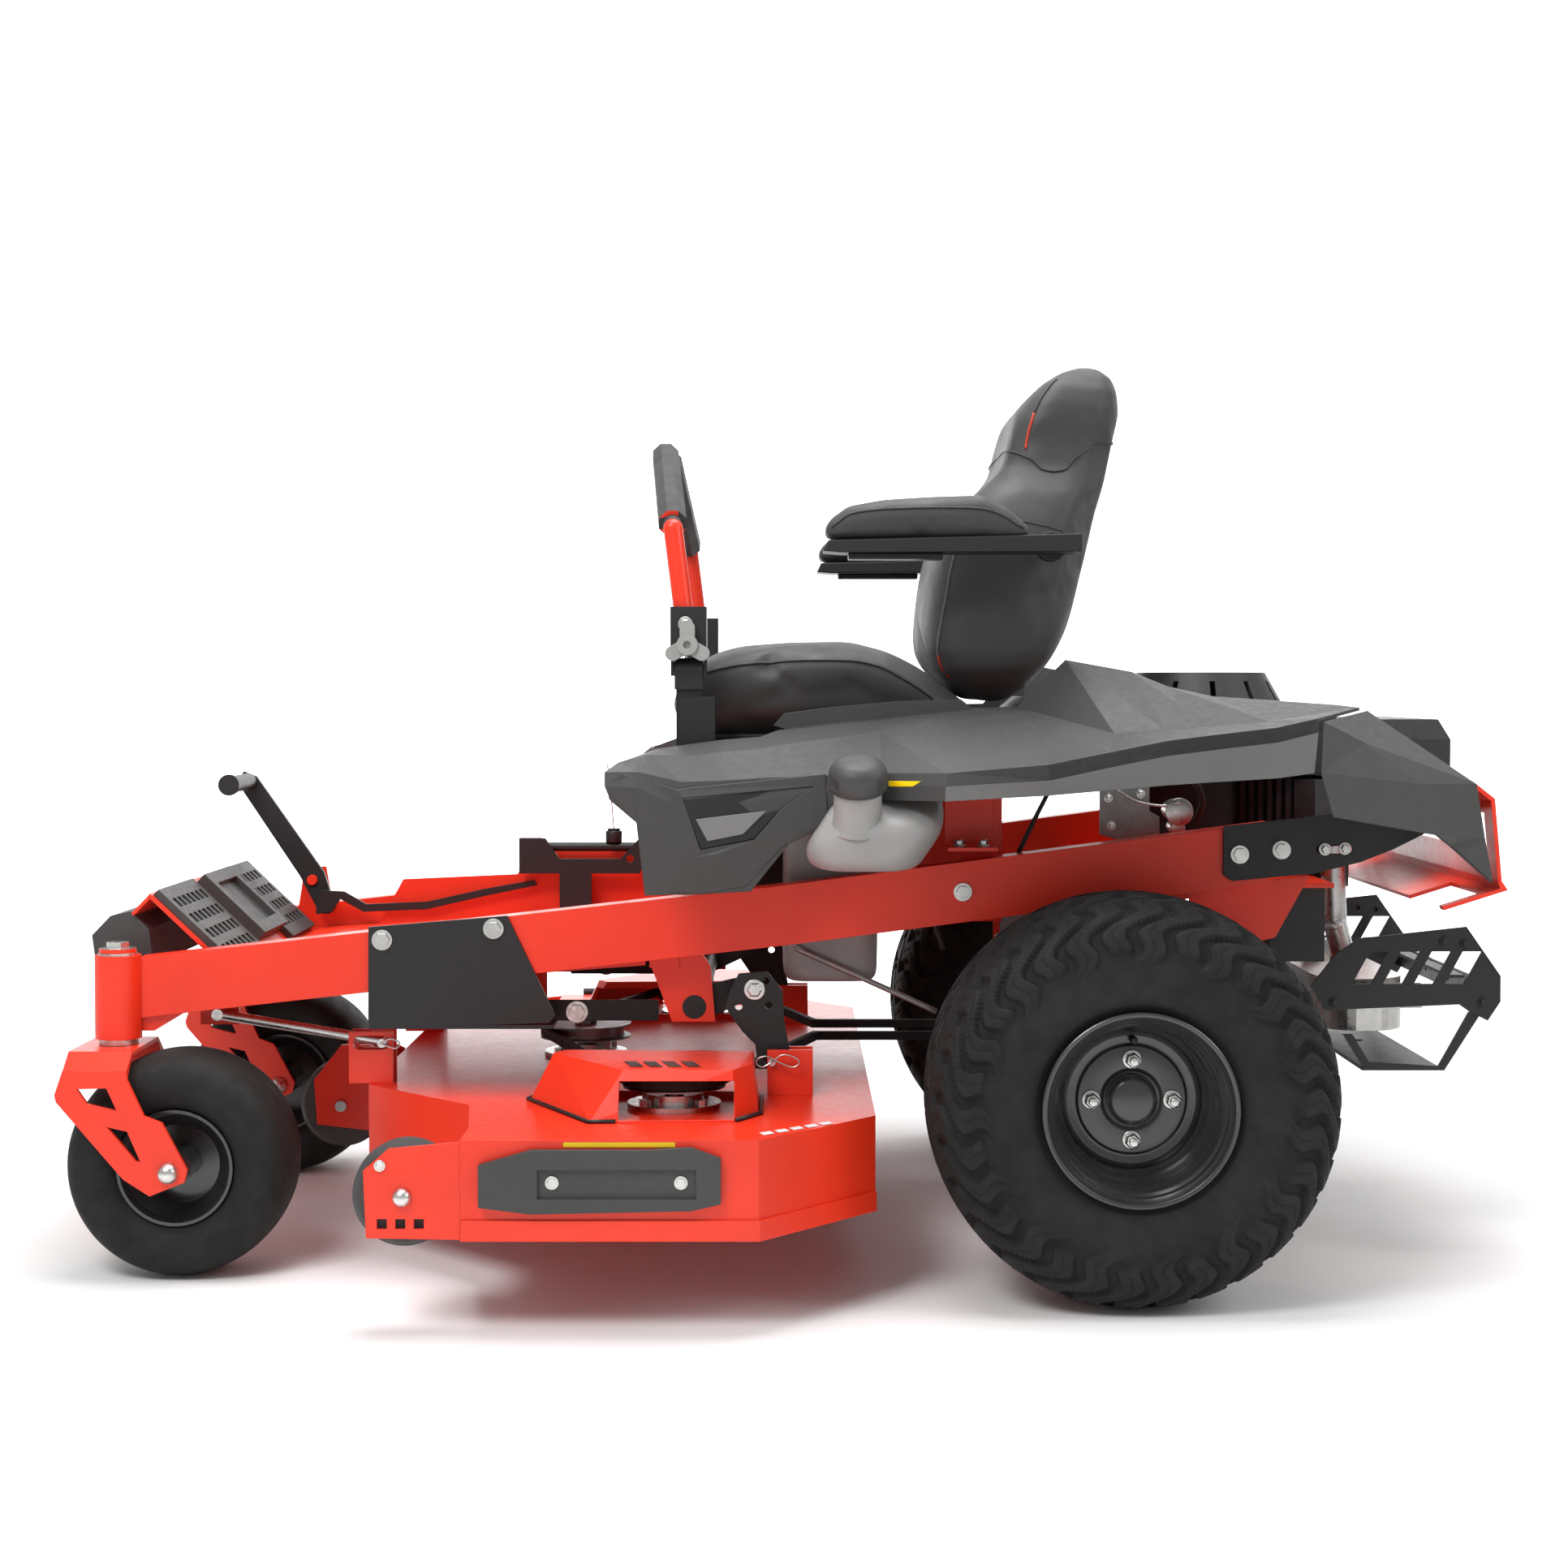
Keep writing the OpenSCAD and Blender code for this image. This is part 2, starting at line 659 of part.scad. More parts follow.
module fuel_cap() {
    color(grey_plastic) at() translate(neck_at) rotate([neck_tilt, 0, 0]) difference() {
        union() {
            translate([0, 0, 4]) cylinder(r = 34, h = 30);
            translate([0, 0, 34]) cylinder(r1 = 34, r2 = 26, h = 7);
        }
        translate([0, 0, 3]) cylinder(r = 28, h = 14);
        for (a = [30:120:270]) rotate([0, 0, a]) translate([38, 0, 12]) cylinder(r = 9, h = 30);
    }
}

// ---------- wheels ----------

// Half section of a tyre: outside round the crown and inside it, from bead to bead
function tyre_arc(r, w, bead, crown, n) = [for (i = [0:n]) let (a = -90 + 180 * i / n)
    [bead + (r - bead) * pow(max(0, cos(a)), crown), w / 2 * sign(a) * pow(abs(sin(a)), 0.62)]];

module tyre(r, w, bead, wall) {
    n = 20;
    out = tyre_arc(r, w, bead, 0.55, n);
    in = tyre_arc(r - wall, w - 1.6 * wall, bead + 0.1, 0.55, n);
    rotate([90, 0, 0]) rotate_extrude($fn = 96)
        polygon(concat(out, [for (i = [n:-1:0]) in[i]]));
}

module caster_tyre(s) {
    color([0.1, 0.1, 0.1]) at() translate([caster_axle_x, s * caster_y, caster_r])
        tyre(caster_r, caster_w, 72, 10);
}

module caster_rim(s) {
    color(black_metal) at() translate([caster_axle_x, s * caster_y, caster_r]) rotate([90, 0, 0]) {
        difference() {
            union() {
                rotate_extrude($fn = 96) polygon([[71.9, -62], [76, -62], [76, -58], [71.9, -50],
                    [56, -30], [56, 30], [71.9, 50], [76, 58], [76, 62], [71.9, 62], [68, 50],
                    [52, 30], [52, -30], [68, -50]]);
                translate([0, 0, -4]) cylinder(r = 54, h = 8);
                translate([0, 0, -62]) cylinder(r = 22, h = 124);
            }
            translate([0, 0, -63]) cylinder(r = 10 + running, h = 126);
        }
    }
}

fork_outline = [[-927, 281], [-845, 279], [-844, 268], [-823, 222], [-800, 213], [-768, 152],
    [-772, 136], [-817, 118], [-851, 140], [-936, 240], [-938, 249]];
fork_windows = [[[-909, 257], [-871, 258], [-858, 229], [-896, 238]],
    [[-871, 208], [-845, 202], [-828, 162], [-834, 164]]];

// One side of the fork at +Y: a flat plate with two windows, and its sloping shoulder
module fork_side() {
    in = 88;
    difference() {
        plate_xz(fork_outline, in, 6);
        for (w = fork_windows) plate_xz(w, in - 1, 8);
    }
    rotate([90, 0, 90]) translate([0, 0, -927]) linear_extrude(82)
        polygon([[in, 270], [in + 6, 280], [66, 301.5], [60, 301.5], [60, 295.5], [64, 295.5]]);
}

module caster_fork(s) {
    color(red) at() translate([0, s * caster_y, 0]) {
        both() fork_side();
        box([-927, -62, 295.5], [-845, 62, 301.5]);
        rod_z(swivel_x, 0, 301, 432, 12.7);
        rod_z(swivel_x, 0, 423.2, 429, 24);
        translate([swivel_x, 0, 429]) cylinder(r = 15, h = 8, $fn = 6);
        rod_y(caster_axle_x, caster_r, -100, 100, 10);
        both() rod_y(caster_axle_x, caster_r, 62.4, 88.1, 16);
        both() difference() {
            translate([caster_axle_x, 94, caster_r]) sphere(r = 14);
            translate([caster_axle_x - 20, 70, caster_r - 20]) cube([40, 24, 40]);
        }
    }
}

module drive_tyre(s) {
    color([0.1, 0.1, 0.1]) at() translate([drive_axle_x, s * drive_y, drive_r])
        tyre(drive_r, drive_w, 121.3, 14);
}

// Wheel with its disc, hub and nuts; the outer side is towards -Z before it is turned
module drive_rim(s) {
    barrel = [[112, -112], [121, -116], [121, -108], [111.9, -104], [108, -60], [90, -40],
        [90, 30], [108, 60], [111.9, 104], [121, 108], [121, 116], [112, 112], [104, 62],
        [86, 32], [86, -42], [104, -62], [107, -104]];
    color(black_metal) at() translate([drive_axle_x, s * drive_y, drive_r]) rotate([-90 * s, 0, 0]) {
        rotate_extrude($fn = 96) polygon([for (p = barrel) [p[0], -p[1]]]);
        difference() {
            translate([0, 0, 20]) cylinder(r = 88, h = 7);
            translate([0, 88 - 12, 10]) cylinder(r = 7, h = 30);
        }
        translate([0, 0, 27]) cylinder(r = 62, h = 3);
        translate([0, 0, 30]) cylinder(r = 31, h = 12);
        for (a = [0:90:270]) rotate([0, 0, a]) translate([50.8, 0, 30]) {
            cylinder(r = 12, h = 4);
            cylinder(r = 9.5, h = 15, $fn = 6);
        }
        translate([0, 0, -120]) cylinder(r = 60, h = 140);
        translate([0, 0, -144]) cylinder(r = 20 - running, h = 24);
    }
}

// ---------- operator controls ----------

module control_arm(s) {
    color(black_metal) at() scale([1, s, 1]) {
        difference() {
            union() {
                plate_xz([[-132, 588], [-92, 588], [-94, 690], [-110, 762], [-110, 800],
                    [-144, 800], [-144, 690]], lap_y - 6, 12);
                rod_y(lever_pivot[0], lever_pivot[1], lap_y - 20, lap_y + 14, 20);
                box([-140, lap_y - 16, 690], [-92, lap_y + 16, 760]);
                box([-146, lap_y - 11, 770], [-108, lap_y + 11, swing_z]);
                rod_x(-146, -108, lap_y, swing_z, 12);
            }
            rod_y(lever_pivot[0], lever_pivot[1], lap_y - 30, lap_y + 30, 8 + running);
            rod_x(-160, -100, lap_y, swing_z, 5 + running);
        }
    }
}

grip_turn = [-169, 50, 1101];
bend_at = [-148, lap_y, 985];

module lap_bar(s) {
    color(red) at() scale([1, s, 1]) {
        rod([-133, lap_y, 862], bend_at, 13);
        translate(bend_at) sphere(r = 13);
        rod(bend_at, grip_turn, 12.9);
        difference() {
            union() {
                box([-151, lap_y - 21, 815], [-103, lap_y + 21, 880]);
                for (x = [-151, -107]) box([x, lap_y - 12, 788], [x + 4, lap_y + 12, 816]);
                rod_x(-151, -103, lap_y, swing_z, 5);
            }
            rod_y(-128, 829, lap_y - 30, lap_y + 30, 4);
        }
        grip();
    }
}

// Grip sleeve on the inward leg of a lap bar: an eight sided tube
module grip() {
    d = grip_turn - bend_at;
    l = norm(d);
    translate(bend_at) rotate([0, acos(d[2] / l), atan2(d[1], d[0])]) difference() {
        translate([0, 0, 16]) rotate([0, 0, 22.5]) cylinder(r = 20, h = l - 10, $fn = 8);
        translate([0, 0, 15]) cylinder(r = 13, h = l - 14.9);
    }
}

module lap_knob(s) {
    y0 = lap_y + 21.4;
    color([0.6, 0.6, 0.6]) at() scale([1, s, 1]) difference() {
        union() {
            for (a = [30, 150, 270]) translate([-128, y0, 829]) rotate([-90, 0, 0])
                rotate([0, 0, a]) {
                    translate([0, -10, 0]) cube([22.5, 20, 13]);
                    translate([22.5, 0, 0]) cylinder(r = 10, h = 13);
                }
            rod_y(-128, 829, y0, y0 + 17, 14);
        }
        rod_y(-128, 829, y0 + 12, y0 + 20, 5);
    }
}

module throttle_lever() {
    color(black_metal) at() {
        box([145, 347.4, throttle_z], [155, 349.6, 804]);
        rod_y(150, 808, 340, 357, 12);
        rod_y(150, throttle_z, 344, 353, 5);
    }
}

module pto_knob() {
    color([0.9, 0.75, 0.05]) at() {
        rod_z(160, 400, 740, 776, 8);
        rod_z(160, 400, 774, 788, 19);
    }
}

module ignition_key() {
    color(zinc) at() {
        rod_z(110, 400, 740, 768, 6);
        box([98, 398, 768], [122, 402, 794]);
    }
}

// ---------- seat ----------

module seat_pan() {
    color(black_metal) at() {
        box([seat_hinge[0] - 4, -230, 686], [250, 230, 691]);
        both() box([-80, 150, 690.5], [230, 176, 700]);
        rod_y(seat_hinge[0], seat_hinge[1] + 3, -240, 240, 6);
    }
}

// Side outline of the cushion: rounded nose, crowned top and a slope down to the backrest
cushion_outline = [[-120, seat_top], [-148, 712], [-160, 724], [-160, 768], [-142, 798],
    [-90, 816], [0, 824], [90, 826], [140, 812], [176, 786], [196, 758], [200, 735],
    [240, 728], [262, 722], [262, seat_top]];

module seat_cushion() {
    color([0.18, 0.18, 0.18]) at() {
        profile_xz(-cushion_w / 2, cushion_w) polygon(cushion_outline);
        both() box([-78, 148, 700.3], [228, 178, seat_top]);
    }
}

back_outline = [[210, 800], [188, 850], [190, 945], [262, 1034], [306, 1083], [445, 1083],
    [420, 956], [392, 835], [368, 782], [296, 747], [245, 762]];
head_outline = [[306, 1083.2], [312, 1144], [330, 1190], [368, 1226], [420, 1238],
    [462, 1222], [474, 1188], [464, 1133], [446, 1083.2]];

module seat_back() {
    color([0.18, 0.18, 0.18]) at() {
        profile_xz(-back_w / 2, back_w) polygon(back_outline);
        profile_xz(-head_w / 2, head_w) polygon(head_outline);
        both() rod_y(arm_pivot[0], arm_pivot[1], back_w / 2, back_w / 2 + 26, 9);
        both() {
            box([180, 185, 700.5], [330, 215, 708.8]);
            box([264, 185, 700.5], [330, 215, 760]);
        }
    }
}

module armrest(s) {
    y0 = back_w / 2 + 14;
    color([0.16, 0.16, 0.16]) at() scale([1, s, 1]) difference() {
        union() {
            profile_xz(y0, 76) polygon([[51, 950], [51, 966], [392, 976], [392, 950]]);
            profile_xz(y0 - 4, 84) polygon([[58, 968], [60, 990], [84, 1014], [110, 1020],
                [262, 1028], [324, 984], [326, 976]]);
            rod_y(arm_pivot[0], arm_pivot[1], y0 - 10, y0 + 20, 20);
        }
        rod_y(arm_pivot[0], arm_pivot[1], y0 - 20, y0 + 16, 9 + running);
    }
}

// ---------- cutting deck ----------

// Outline of the deck set in by i, point by point, so the sheet keeps exact faces
function deck_plan(i) = [[-385 + i, -deck_half + i], [-30 - 0.42 * i, -deck_half + i],
    [115 - i, -506 + 0.3 * i], [115 - i, 506 - 0.3 * i], [-30 - 0.42 * i, deck_half - i],
    [-385 + i, deck_half - i], [-385 + i, 590 - 0.1 * i], [-405 + i, 430 - 0.6 * i],
    [-562 + i, 270 - 0.6 * i], [-562 + i, -270 + 0.6 * i], [-405 + i, -430 + 0.6 * i],
    [-385 + i, -590 + 0.1 * i]];

module deck_shell() {
    seam = 0.2;          // gap at each welded bracket
    on_top = deck_top + seam;
    side_x = -385 - seam;
    nose_x = -562 - seam;
    color(red) at() difference() {
        union() {
            translate([0, 0, deck_z]) linear_extrude(deck_depth) polygon(deck_plan(0));
            for (y = [-deck_half, deck_half - deck_t])
                plate_xz([[-497, deck_z + 4], [-500, 200], [-470, 226], [side_x, 234],
                    [side_x, deck_z + 2]], y, deck_t);
            for (y = [-46, 40]) plate_xz([[-676, 140], [-680, 205], [-640, 256], [-600, 256],
                [nose_x, 238], [nose_x, deck_z + 12]], y, 6);
            both() {
                box([-22, 322, on_top], [38, 327, 296]);
                box([-22, 352, on_top], [38, 357, 296]);
                box([-22, 327 + seam, on_top], [-17, 352 - seam, 264]);
                box([-590, 229, on_top], [-530, 234, 306]);
                box([-590, 258, on_top], [-530, 263, 306]);
            }
        }
        translate([0, 0, deck_z - 1]) linear_extrude(deck_depth - deck_t + 1)
            polygon(deck_plan(deck_t));
        for (p = spindles) rod_z(p[0], p[1], deck_z, deck_top + 5, 38);
        for (y = [-deck_half, deck_half - deck_t]) rod_y(-454, 168, y - 2, y + deck_t + 2,
            8 + running);
        rod_y(-640, 168, -50, 50, 8 + running);
        box([-330, deck_half - 20, deck_z - 1], [20, deck_half + 1, deck_top - 12]);
        both() {
            rod_y(hanger_x, hanger_z, 320, 360, 5.1);
            profile_xz(227, 38) translate([-560, 291]) round_rect([-24, -10], [24, 10], 9.9);
        }
        for (s = [left, right], x = [-478, -456, -434])
            translate([x - 6, s * deck_half - 8, 130]) cube([12, 16, 12]);
    }
}

module deck_bumper() {
    color(grey_plastic) at() difference() {
        plate_xz([[-362, 158], [-362, 208], [-300, 226], [-160, 226], [-110, 229], [-75, 216],
            [-75, 162], [-110, 154], [-300, 150]], -deck_half - 12, 11.9);
        box([-292, -deck_half - 14, 168], [-104, -deck_half - 7, 203]);
        for (x = [-275, -122]) rod_y(x, 187, -deck_half - 14, -deck_half + 1, 3);
    }
}

// Plan of a belt cover's foot and of its flat top, at the left hand spindle
cover_foot = [[-330, -395], [-240, -560], [-60, -548], [-32, -500], [-32, -372], [-322, -360]];
cover_top = [[-300, -385], [-200, -528], [-64, -528], [-40, -480], [-40, -372], [-285, -360]];

module cover_form(grow, lift) {
    hull() {
        translate([0, 0, deck_top + 0.1]) linear_extrude(1) offset(delta = grow) polygon(cover_foot);
        translate([0, 0, 296 + lift]) linear_extrude(1) offset(delta = grow) polygon(cover_top);
    }
}

module belt_covers() {
    color(red) at() both() difference() {
        cover_form(0, 0);
        translate([0, 0, -1]) cover_form(-4, -3);
        box([-205, -600, 238], [-62, -480, 284]);
        box([-340, -380, 244], [-330 + 320, -340, 286]);
    }
}

// Spindle housings, wheel brackets' bolts and hairpins on the deck
module deck_hardware() {
    color(zinc) at() {
        for (p = spindles) translate([p[0], p[1], 0]) difference() {
            union() {
                translate([0, 0, deck_top + 0.1]) cylinder(r = 60, h = 6);
                translate([0, 0, 196]) cylinder(r = 37.5, h = 58);
                for (a = [45:90:315]) rotate([0, 0, a]) translate([50, 0, deck_top + 6.1]) {
                    cylinder(r = 8, h = 8, $fn = 6);
                }
            }
            translate([0, 0, 190]) cylinder(r = 12.7 + running, h = 70);
        }
        both() rod_y(-454, 168, deck_half - 68, deck_half + 6, 8);
        both() difference() {
            translate([-454, deck_half + 0.1, 168]) sphere(r = 12);
            box([-470, deck_half - 15, 150], [-438, deck_half + 0.1, 190]);
        }
        rod_y(-640, 168, -56, 56, 8);
        for (x = [-275, -122]) bolt_y(x, 187, -deck_half - 7, left, 6, 4);
        both() rod_y(hanger_x, hanger_z, 318, 362, 5);
    }
}

module pulley(r, h) {
    rotate_extrude($fn = 96) polygon([[0, 0], [r, 0], [r, 2], [r - 10, 3], [r - 10, h - 3],
        [r, h - 2], [r, h], [0, h]]);
}

// One spindle: shaft, pulley on top and the blade with its two upturned sails
module spindle(i) {
    p = spindles[i];
    turn = i == 1 ? 0 : 90;
    color([0.3, 0.3, 0.3]) at() translate([p[0], p[1], 0]) {
        rod_z(0, 0, 152, 292, 12.7);
        translate([0, 0, 262]) pulley(66, 20);
        translate([0, 0, 282]) cylinder(r = 16, h = 8, $fn = 6);
        rotate([0, 0, turn]) {
            translate([-blade_l / 2, -30, 146]) cube([blade_l, 60, 6]);
            for (a = [0, 180]) rotate([0, 0, a]) translate([blade_l / 2 - 110, 12, 152])
                cube([100, 16, 14]);
        }
        translate([0, 0, 134]) cylinder(r = 18, h = 12, $fn = 6);
        translate([0, 0, 152]) cylinder(r = 34, h = 40);
    }
}

// Belt round the three deck pulleys and back to the engine, a flat closed band
module deck_belt() {
    z0 = 266;
    color([0.05, 0.05, 0.05]) at() translate([0, 0, z0]) linear_extrude(12) difference() {
        belt_path(0);
        belt_path(9);
    }
}

module belt_path(inset) {
    r = 66 - inset;
    hull() {
        for (p = spindles) translate(p) circle(r = r, $fn = 32);
        circle(r = r, $fn = 32);
    }
    hull() {
        for (p = [[0, 0], crank]) translate(p) circle(r = r, $fn = 32);
    }
}

module scalp_wheel(x, y, w) {
    r = 63.5;
    color([0.12, 0.12, 0.12]) at() translate([x, y, 168]) rotate([90, 0, 0]) difference() {
        rotate_extrude($fn = 64) polygon([[0, -w / 2], [r - 8, -w / 2], [r - 2, -w / 2 + 5],
            [r, 0], [r - 2, w / 2 - 5], [r - 8, w / 2], [0, w / 2]]);
        translate([0, 0, -w]) cylinder(r = 8 + running, h = 2 * w);
    }
}

// Deflector hinged on the discharge side
module discharge_chute() {
    reach = 230;
    y0 = deck_half + 8;
    color([0.1, 0.1, 0.1]) at() {
        difference() {
            translate([0, y0, chute_hinge_z]) rotate([-24, 0, 0]) union() {
                box([-340, 6, -2], [30, reach, 3]);
                box([-340, 6, -60], [-335, reach - 20, -2]);
                box([25, 6, -60], [30, reach - 20, -2]);
            }
            box([-350, deck_half - 40, 100], [40, deck_half + 1, 300]);
        }
        rod_x(-350, 40, y0, chute_hinge_z, 5.9);
    }
}

// ---------- deck lift ----------

module lift_shaft() {
    color(black_metal) at() {
        rod_y(shaft_x, shaft_z, -299, 299, 16);
        both() difference() {
            plate_xz([[shaft_x - 22, shaft_z - 14], [shaft_x - 16, shaft_z + 20],
                [arm_x - 6, arm_z + 14], [arm_x + 14, arm_z + 6], [arm_x + 12, arm_z - 10],
                [shaft_x + 12, shaft_z - 20]], 280, 6);
            rod_y(shaft_x, shaft_z, 270, 300, 8);
        }
        both() rod_y(arm_x, arm_z, 285, 340, 7);
        plate_xz([[shaft_x + 12, shaft_z], [shaft_x + 8, shaft_z - 62], [shaft_x - 8, shaft_z - 62],
            [shaft_x - 12, shaft_z]], 230, 6);
    }
}

link_plate = [[-72, 370], [-60, 394], [-22, 397], [-2, 372], [0, 335], [6, 300], [12, 270],
    [-34, 267], [-38, 300], [-56, 318], [-78, 350]];

// Plates that hang from the lift arms; the lower slot takes up the arms' swing
module drop_links() {
    color(black_metal) at() both() difference() {
        plate_xz(link_plate, 329, 6);
        rod_y(arm_x, arm_z, 320, 345, 7 + running);
        profile_xz(320, 25) translate([hanger_x, hanger_z])
            round_rect([-11, -7.5], [19.5, 8.5], 7.9);
        for (p = [[-60, 350], [-20, 352], [-24, 384]]) rod_y(p[0], p[1], 320, 345, 5);
    }
}

module lift_pedal() {
    y0 = 276;
    top = [-842, 624];
    color(black_metal) at() {
        difference() {
            union() {
                plate_xz([[pedal_low[0] - 14, pedal_low[1] - 6],
                    [pedal_pivot[0] - 20, pedal_pivot[1] + 6], [top[0] - 18, top[1] - 2],
                    [top[0] - 8, top[1] + 16], [top[0] + 12, top[1] + 8],
                    [pedal_pivot[0] + 18, pedal_pivot[1] + 12],
                    [pedal_low[0] + 14, pedal_low[1] - 2]], y0, 8);
                rod_y(pedal_low[0], pedal_low[1], y0, y0 + 8, 15);
            }
            rod_y(pedal_pivot[0], pedal_pivot[1], y0 - 5, y0 + 12, 8 + running);
            rod_y(pedal_low[0], pedal_low[1], y0 - 5, y0 + 12, 11.5);
        }
        rod_y(top[0], top[1], y0 - 130, y0 + 0.1, 13);
        rod_y(top[0], top[1], y0 - 138, y0 - 130, 16);
    }
}

link_run = [[-726, 454], [-690, 452], [-655, 432], [-560, 436], [-470, 456], [-392, 470],
    [-386, 462], [-468, 445], [-560, 424], [-660, 420], [-696, 440], [-710, 420], [-734, 416],
    [-734, 440]];

module lift_link() {
    color(black_metal) at() union() {
        plate_xz(link_run, 258, 5);
        rod_y(pedal_low[0], pedal_low[1], 262, 286, 5.6);
    }
}

module front_links() {
    color(zinc) at() both() {
        rod([strut_front[0], 246, strut_front[1]], [strut_rear[0], 246, strut_rear[1]], 7);
        rod_y(strut_rear[0], strut_rear[1], 226, 266, 6);
        rod_y(strut_front[0], strut_front[1], 224, 254, 8);
    }
}

module crank_pulley() {
    color([0.3, 0.3, 0.3]) at() translate([crank[0], crank[1], 0]) {
        translate([0, 0, 262]) pulley(66, 20);
        for (c = [[282, 342, 55], [342, 362, 30], [382, 515, 14]])
            translate([0, 0, c[0]]) cylinder(r = c[2], h = c[1] - c[0]);
        translate([0, 0, 362]) pulley(60, 20);
    }
}

main_frame();
floor_pan();
footrest_trim();
frame_plates();
engine_guard();
seat_frame();
fender_left();
fender_right();
rear_cowl();
rear_bumper();
fuel_tank();
engine_block();
engine_shroud();
muffler();
battery();
transaxles();
frame_hardware();
fuel_cap();
caster_fork(left);  // caster_fork_left
caster_fork(right);  // caster_fork_right
caster_rim(left);  // caster_rim_left
caster_rim(right);  // caster_rim_right
caster_tyre(left);  // caster_tyre_left
caster_tyre(right);  // caster_tyre_right
drive_rim(left);  // drive_rim_left
drive_rim(right);  // drive_rim_right
drive_tyre(left);  // drive_tyre_left
drive_tyre(right);  // drive_tyre_right
control_arm(left);  // control_arm_left
control_arm(right);  // control_arm_right
lap_bar(left);  // lap_bar_left
lap_bar(right);  // lap_bar_right
lap_knob(left);  // lap_knob_left
lap_knob(right);  // lap_knob_right
seat_pan();
seat_cushion();
seat_back();
armrest(left);  // armrest_left
armrest(right);  // armrest_right
deck_shell();
deck_bumper();
belt_covers();
deck_hardware();
deck_belt();
spindle(0);  // spindle_left
spindle(1);  // spindle_centre
spindle(2);  // spindle_right
scalp_wheel(-454, -deck_half + 38, 56);  // scalp_wheel_left
scalp_wheel(-640, 0, 76);  // scalp_wheel_centre
scalp_wheel(-454, deck_half - 38, 56);  // scalp_wheel_right
discharge_chute();
lift_shaft();
drop_links();
lift_pedal();
lift_link();
front_links();
crank_pulley();
throttle_lever();
pto_knob();
ignition_key();
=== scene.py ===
import json
import math

import bmesh
import bpy
import numpy as np
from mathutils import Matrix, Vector
from mathutils.bvhtree import BVHTree


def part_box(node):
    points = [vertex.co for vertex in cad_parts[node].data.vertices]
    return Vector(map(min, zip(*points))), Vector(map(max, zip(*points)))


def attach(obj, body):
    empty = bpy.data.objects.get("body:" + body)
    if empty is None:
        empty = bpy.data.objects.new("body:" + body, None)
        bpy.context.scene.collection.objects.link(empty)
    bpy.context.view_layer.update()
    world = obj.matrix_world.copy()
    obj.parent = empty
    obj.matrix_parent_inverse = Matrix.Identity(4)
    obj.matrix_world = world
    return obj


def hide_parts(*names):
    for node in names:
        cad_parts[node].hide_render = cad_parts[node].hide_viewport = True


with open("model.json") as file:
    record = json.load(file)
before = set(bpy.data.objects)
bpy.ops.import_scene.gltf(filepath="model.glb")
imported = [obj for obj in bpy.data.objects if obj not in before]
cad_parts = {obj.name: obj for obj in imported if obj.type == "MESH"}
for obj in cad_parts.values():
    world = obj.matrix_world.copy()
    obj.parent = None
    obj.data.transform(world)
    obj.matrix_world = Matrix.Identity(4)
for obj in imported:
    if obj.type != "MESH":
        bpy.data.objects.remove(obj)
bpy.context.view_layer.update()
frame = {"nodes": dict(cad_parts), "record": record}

nodes = frame["nodes"]
scene = bpy.context.scene

# ---------- the machine's datum, in the row frame ----------


def middle(node):
    lo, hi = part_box(node)
    return [(lo[i] + hi[i]) / 2 for i in range(3)]


wheel_l, wheel_r = middle("drive_tyre_left"), middle("drive_tyre_right")
OX = wheel_l[0] - 0.435
OY = (wheel_l[1] + wheel_r[1]) / 2


def D(x, y, z):
    """A place given in millimetres from the datum, in the row frame."""
    return Vector((x / 1000 + OX, y / 1000 + OY, z / 1000))


# ---------- camera and studio ----------

cam_data = bpy.data.cameras.new("camera")
cam_data.sensor_width = 36
cam_data.lens = 55.3
cam = bpy.data.objects.new("camera", cam_data)
cam.location = D(0, -3510, 778)
cam.rotation_euler = (math.radians(90 - 2.39), 0, 0)
scene.collection.objects.link(cam)
scene.camera = cam
scene.view_settings.view_transform = "Standard"
scene.view_settings.look = "None"

world = bpy.data.worlds.new("studio")
scene.world = world
world.use_nodes = True
world.node_tree.nodes["Background"].inputs["Color"].default_value = (1, 1, 1, 1)
world.node_tree.nodes["Background"].inputs["Strength"].default_value = 0.5


def area_light(name, at, aim, size, power, shape="RECTANGLE", size_y=None):
    data = bpy.data.lights.new(name, "AREA")
    data.shape = shape
    data.size = size
    data.size_y = size_y or size
    data.energy = power
    o = bpy.data.objects.new(name, data)
    o.location = at
    o.rotation_euler = (aim - at).to_track_quat("-Z", "Y").to_euler()
    scene.collection.objects.link(o)
    return o


area_light("key", D(-1500, -2700, 3100), D(0, 0, 500), 1.5, 80, size_y=1.2)
area_light("top", D(100, -100, 3300), D(50, 0, 600), 2.2, 95, size_y=1.6)
area_light("rear", D(2600, -1300, 1900), D(300, 0, 500), 1.0, 22, size_y=1.4)
area_light("wall", D(0, 2600, 2600), D(0, 7500, 1900), 6.0, 620, size_y=3.0)


def backdrop():
    bm = bmesh.new()
    run = [(-9, 0), (4, 0)]
    run += [(4 + 3 * math.sin(a), 3 - 3 * math.cos(a)) for a in np.linspace(0.1, math.pi / 2, 12)]
    run += [(7, 12)]
    rows = [[bm.verts.new((x, y, z)) for y, z in run] for x in (-16, 16)]
    for i in range(len(run) - 1):
        bm.faces.new([rows[0][i], rows[1][i], rows[1][i + 1], rows[0][i + 1]])
    mesh = bpy.data.meshes.new("studio_floor")
    bm.to_mesh(mesh)
    bm.free()
    for p in mesh.polygons:
        p.use_smooth = True
    o = bpy.data.objects.new("studio_floor", mesh)
    scene.collection.objects.link(o)
    return o


floor = backdrop()

# ---------- materials ----------


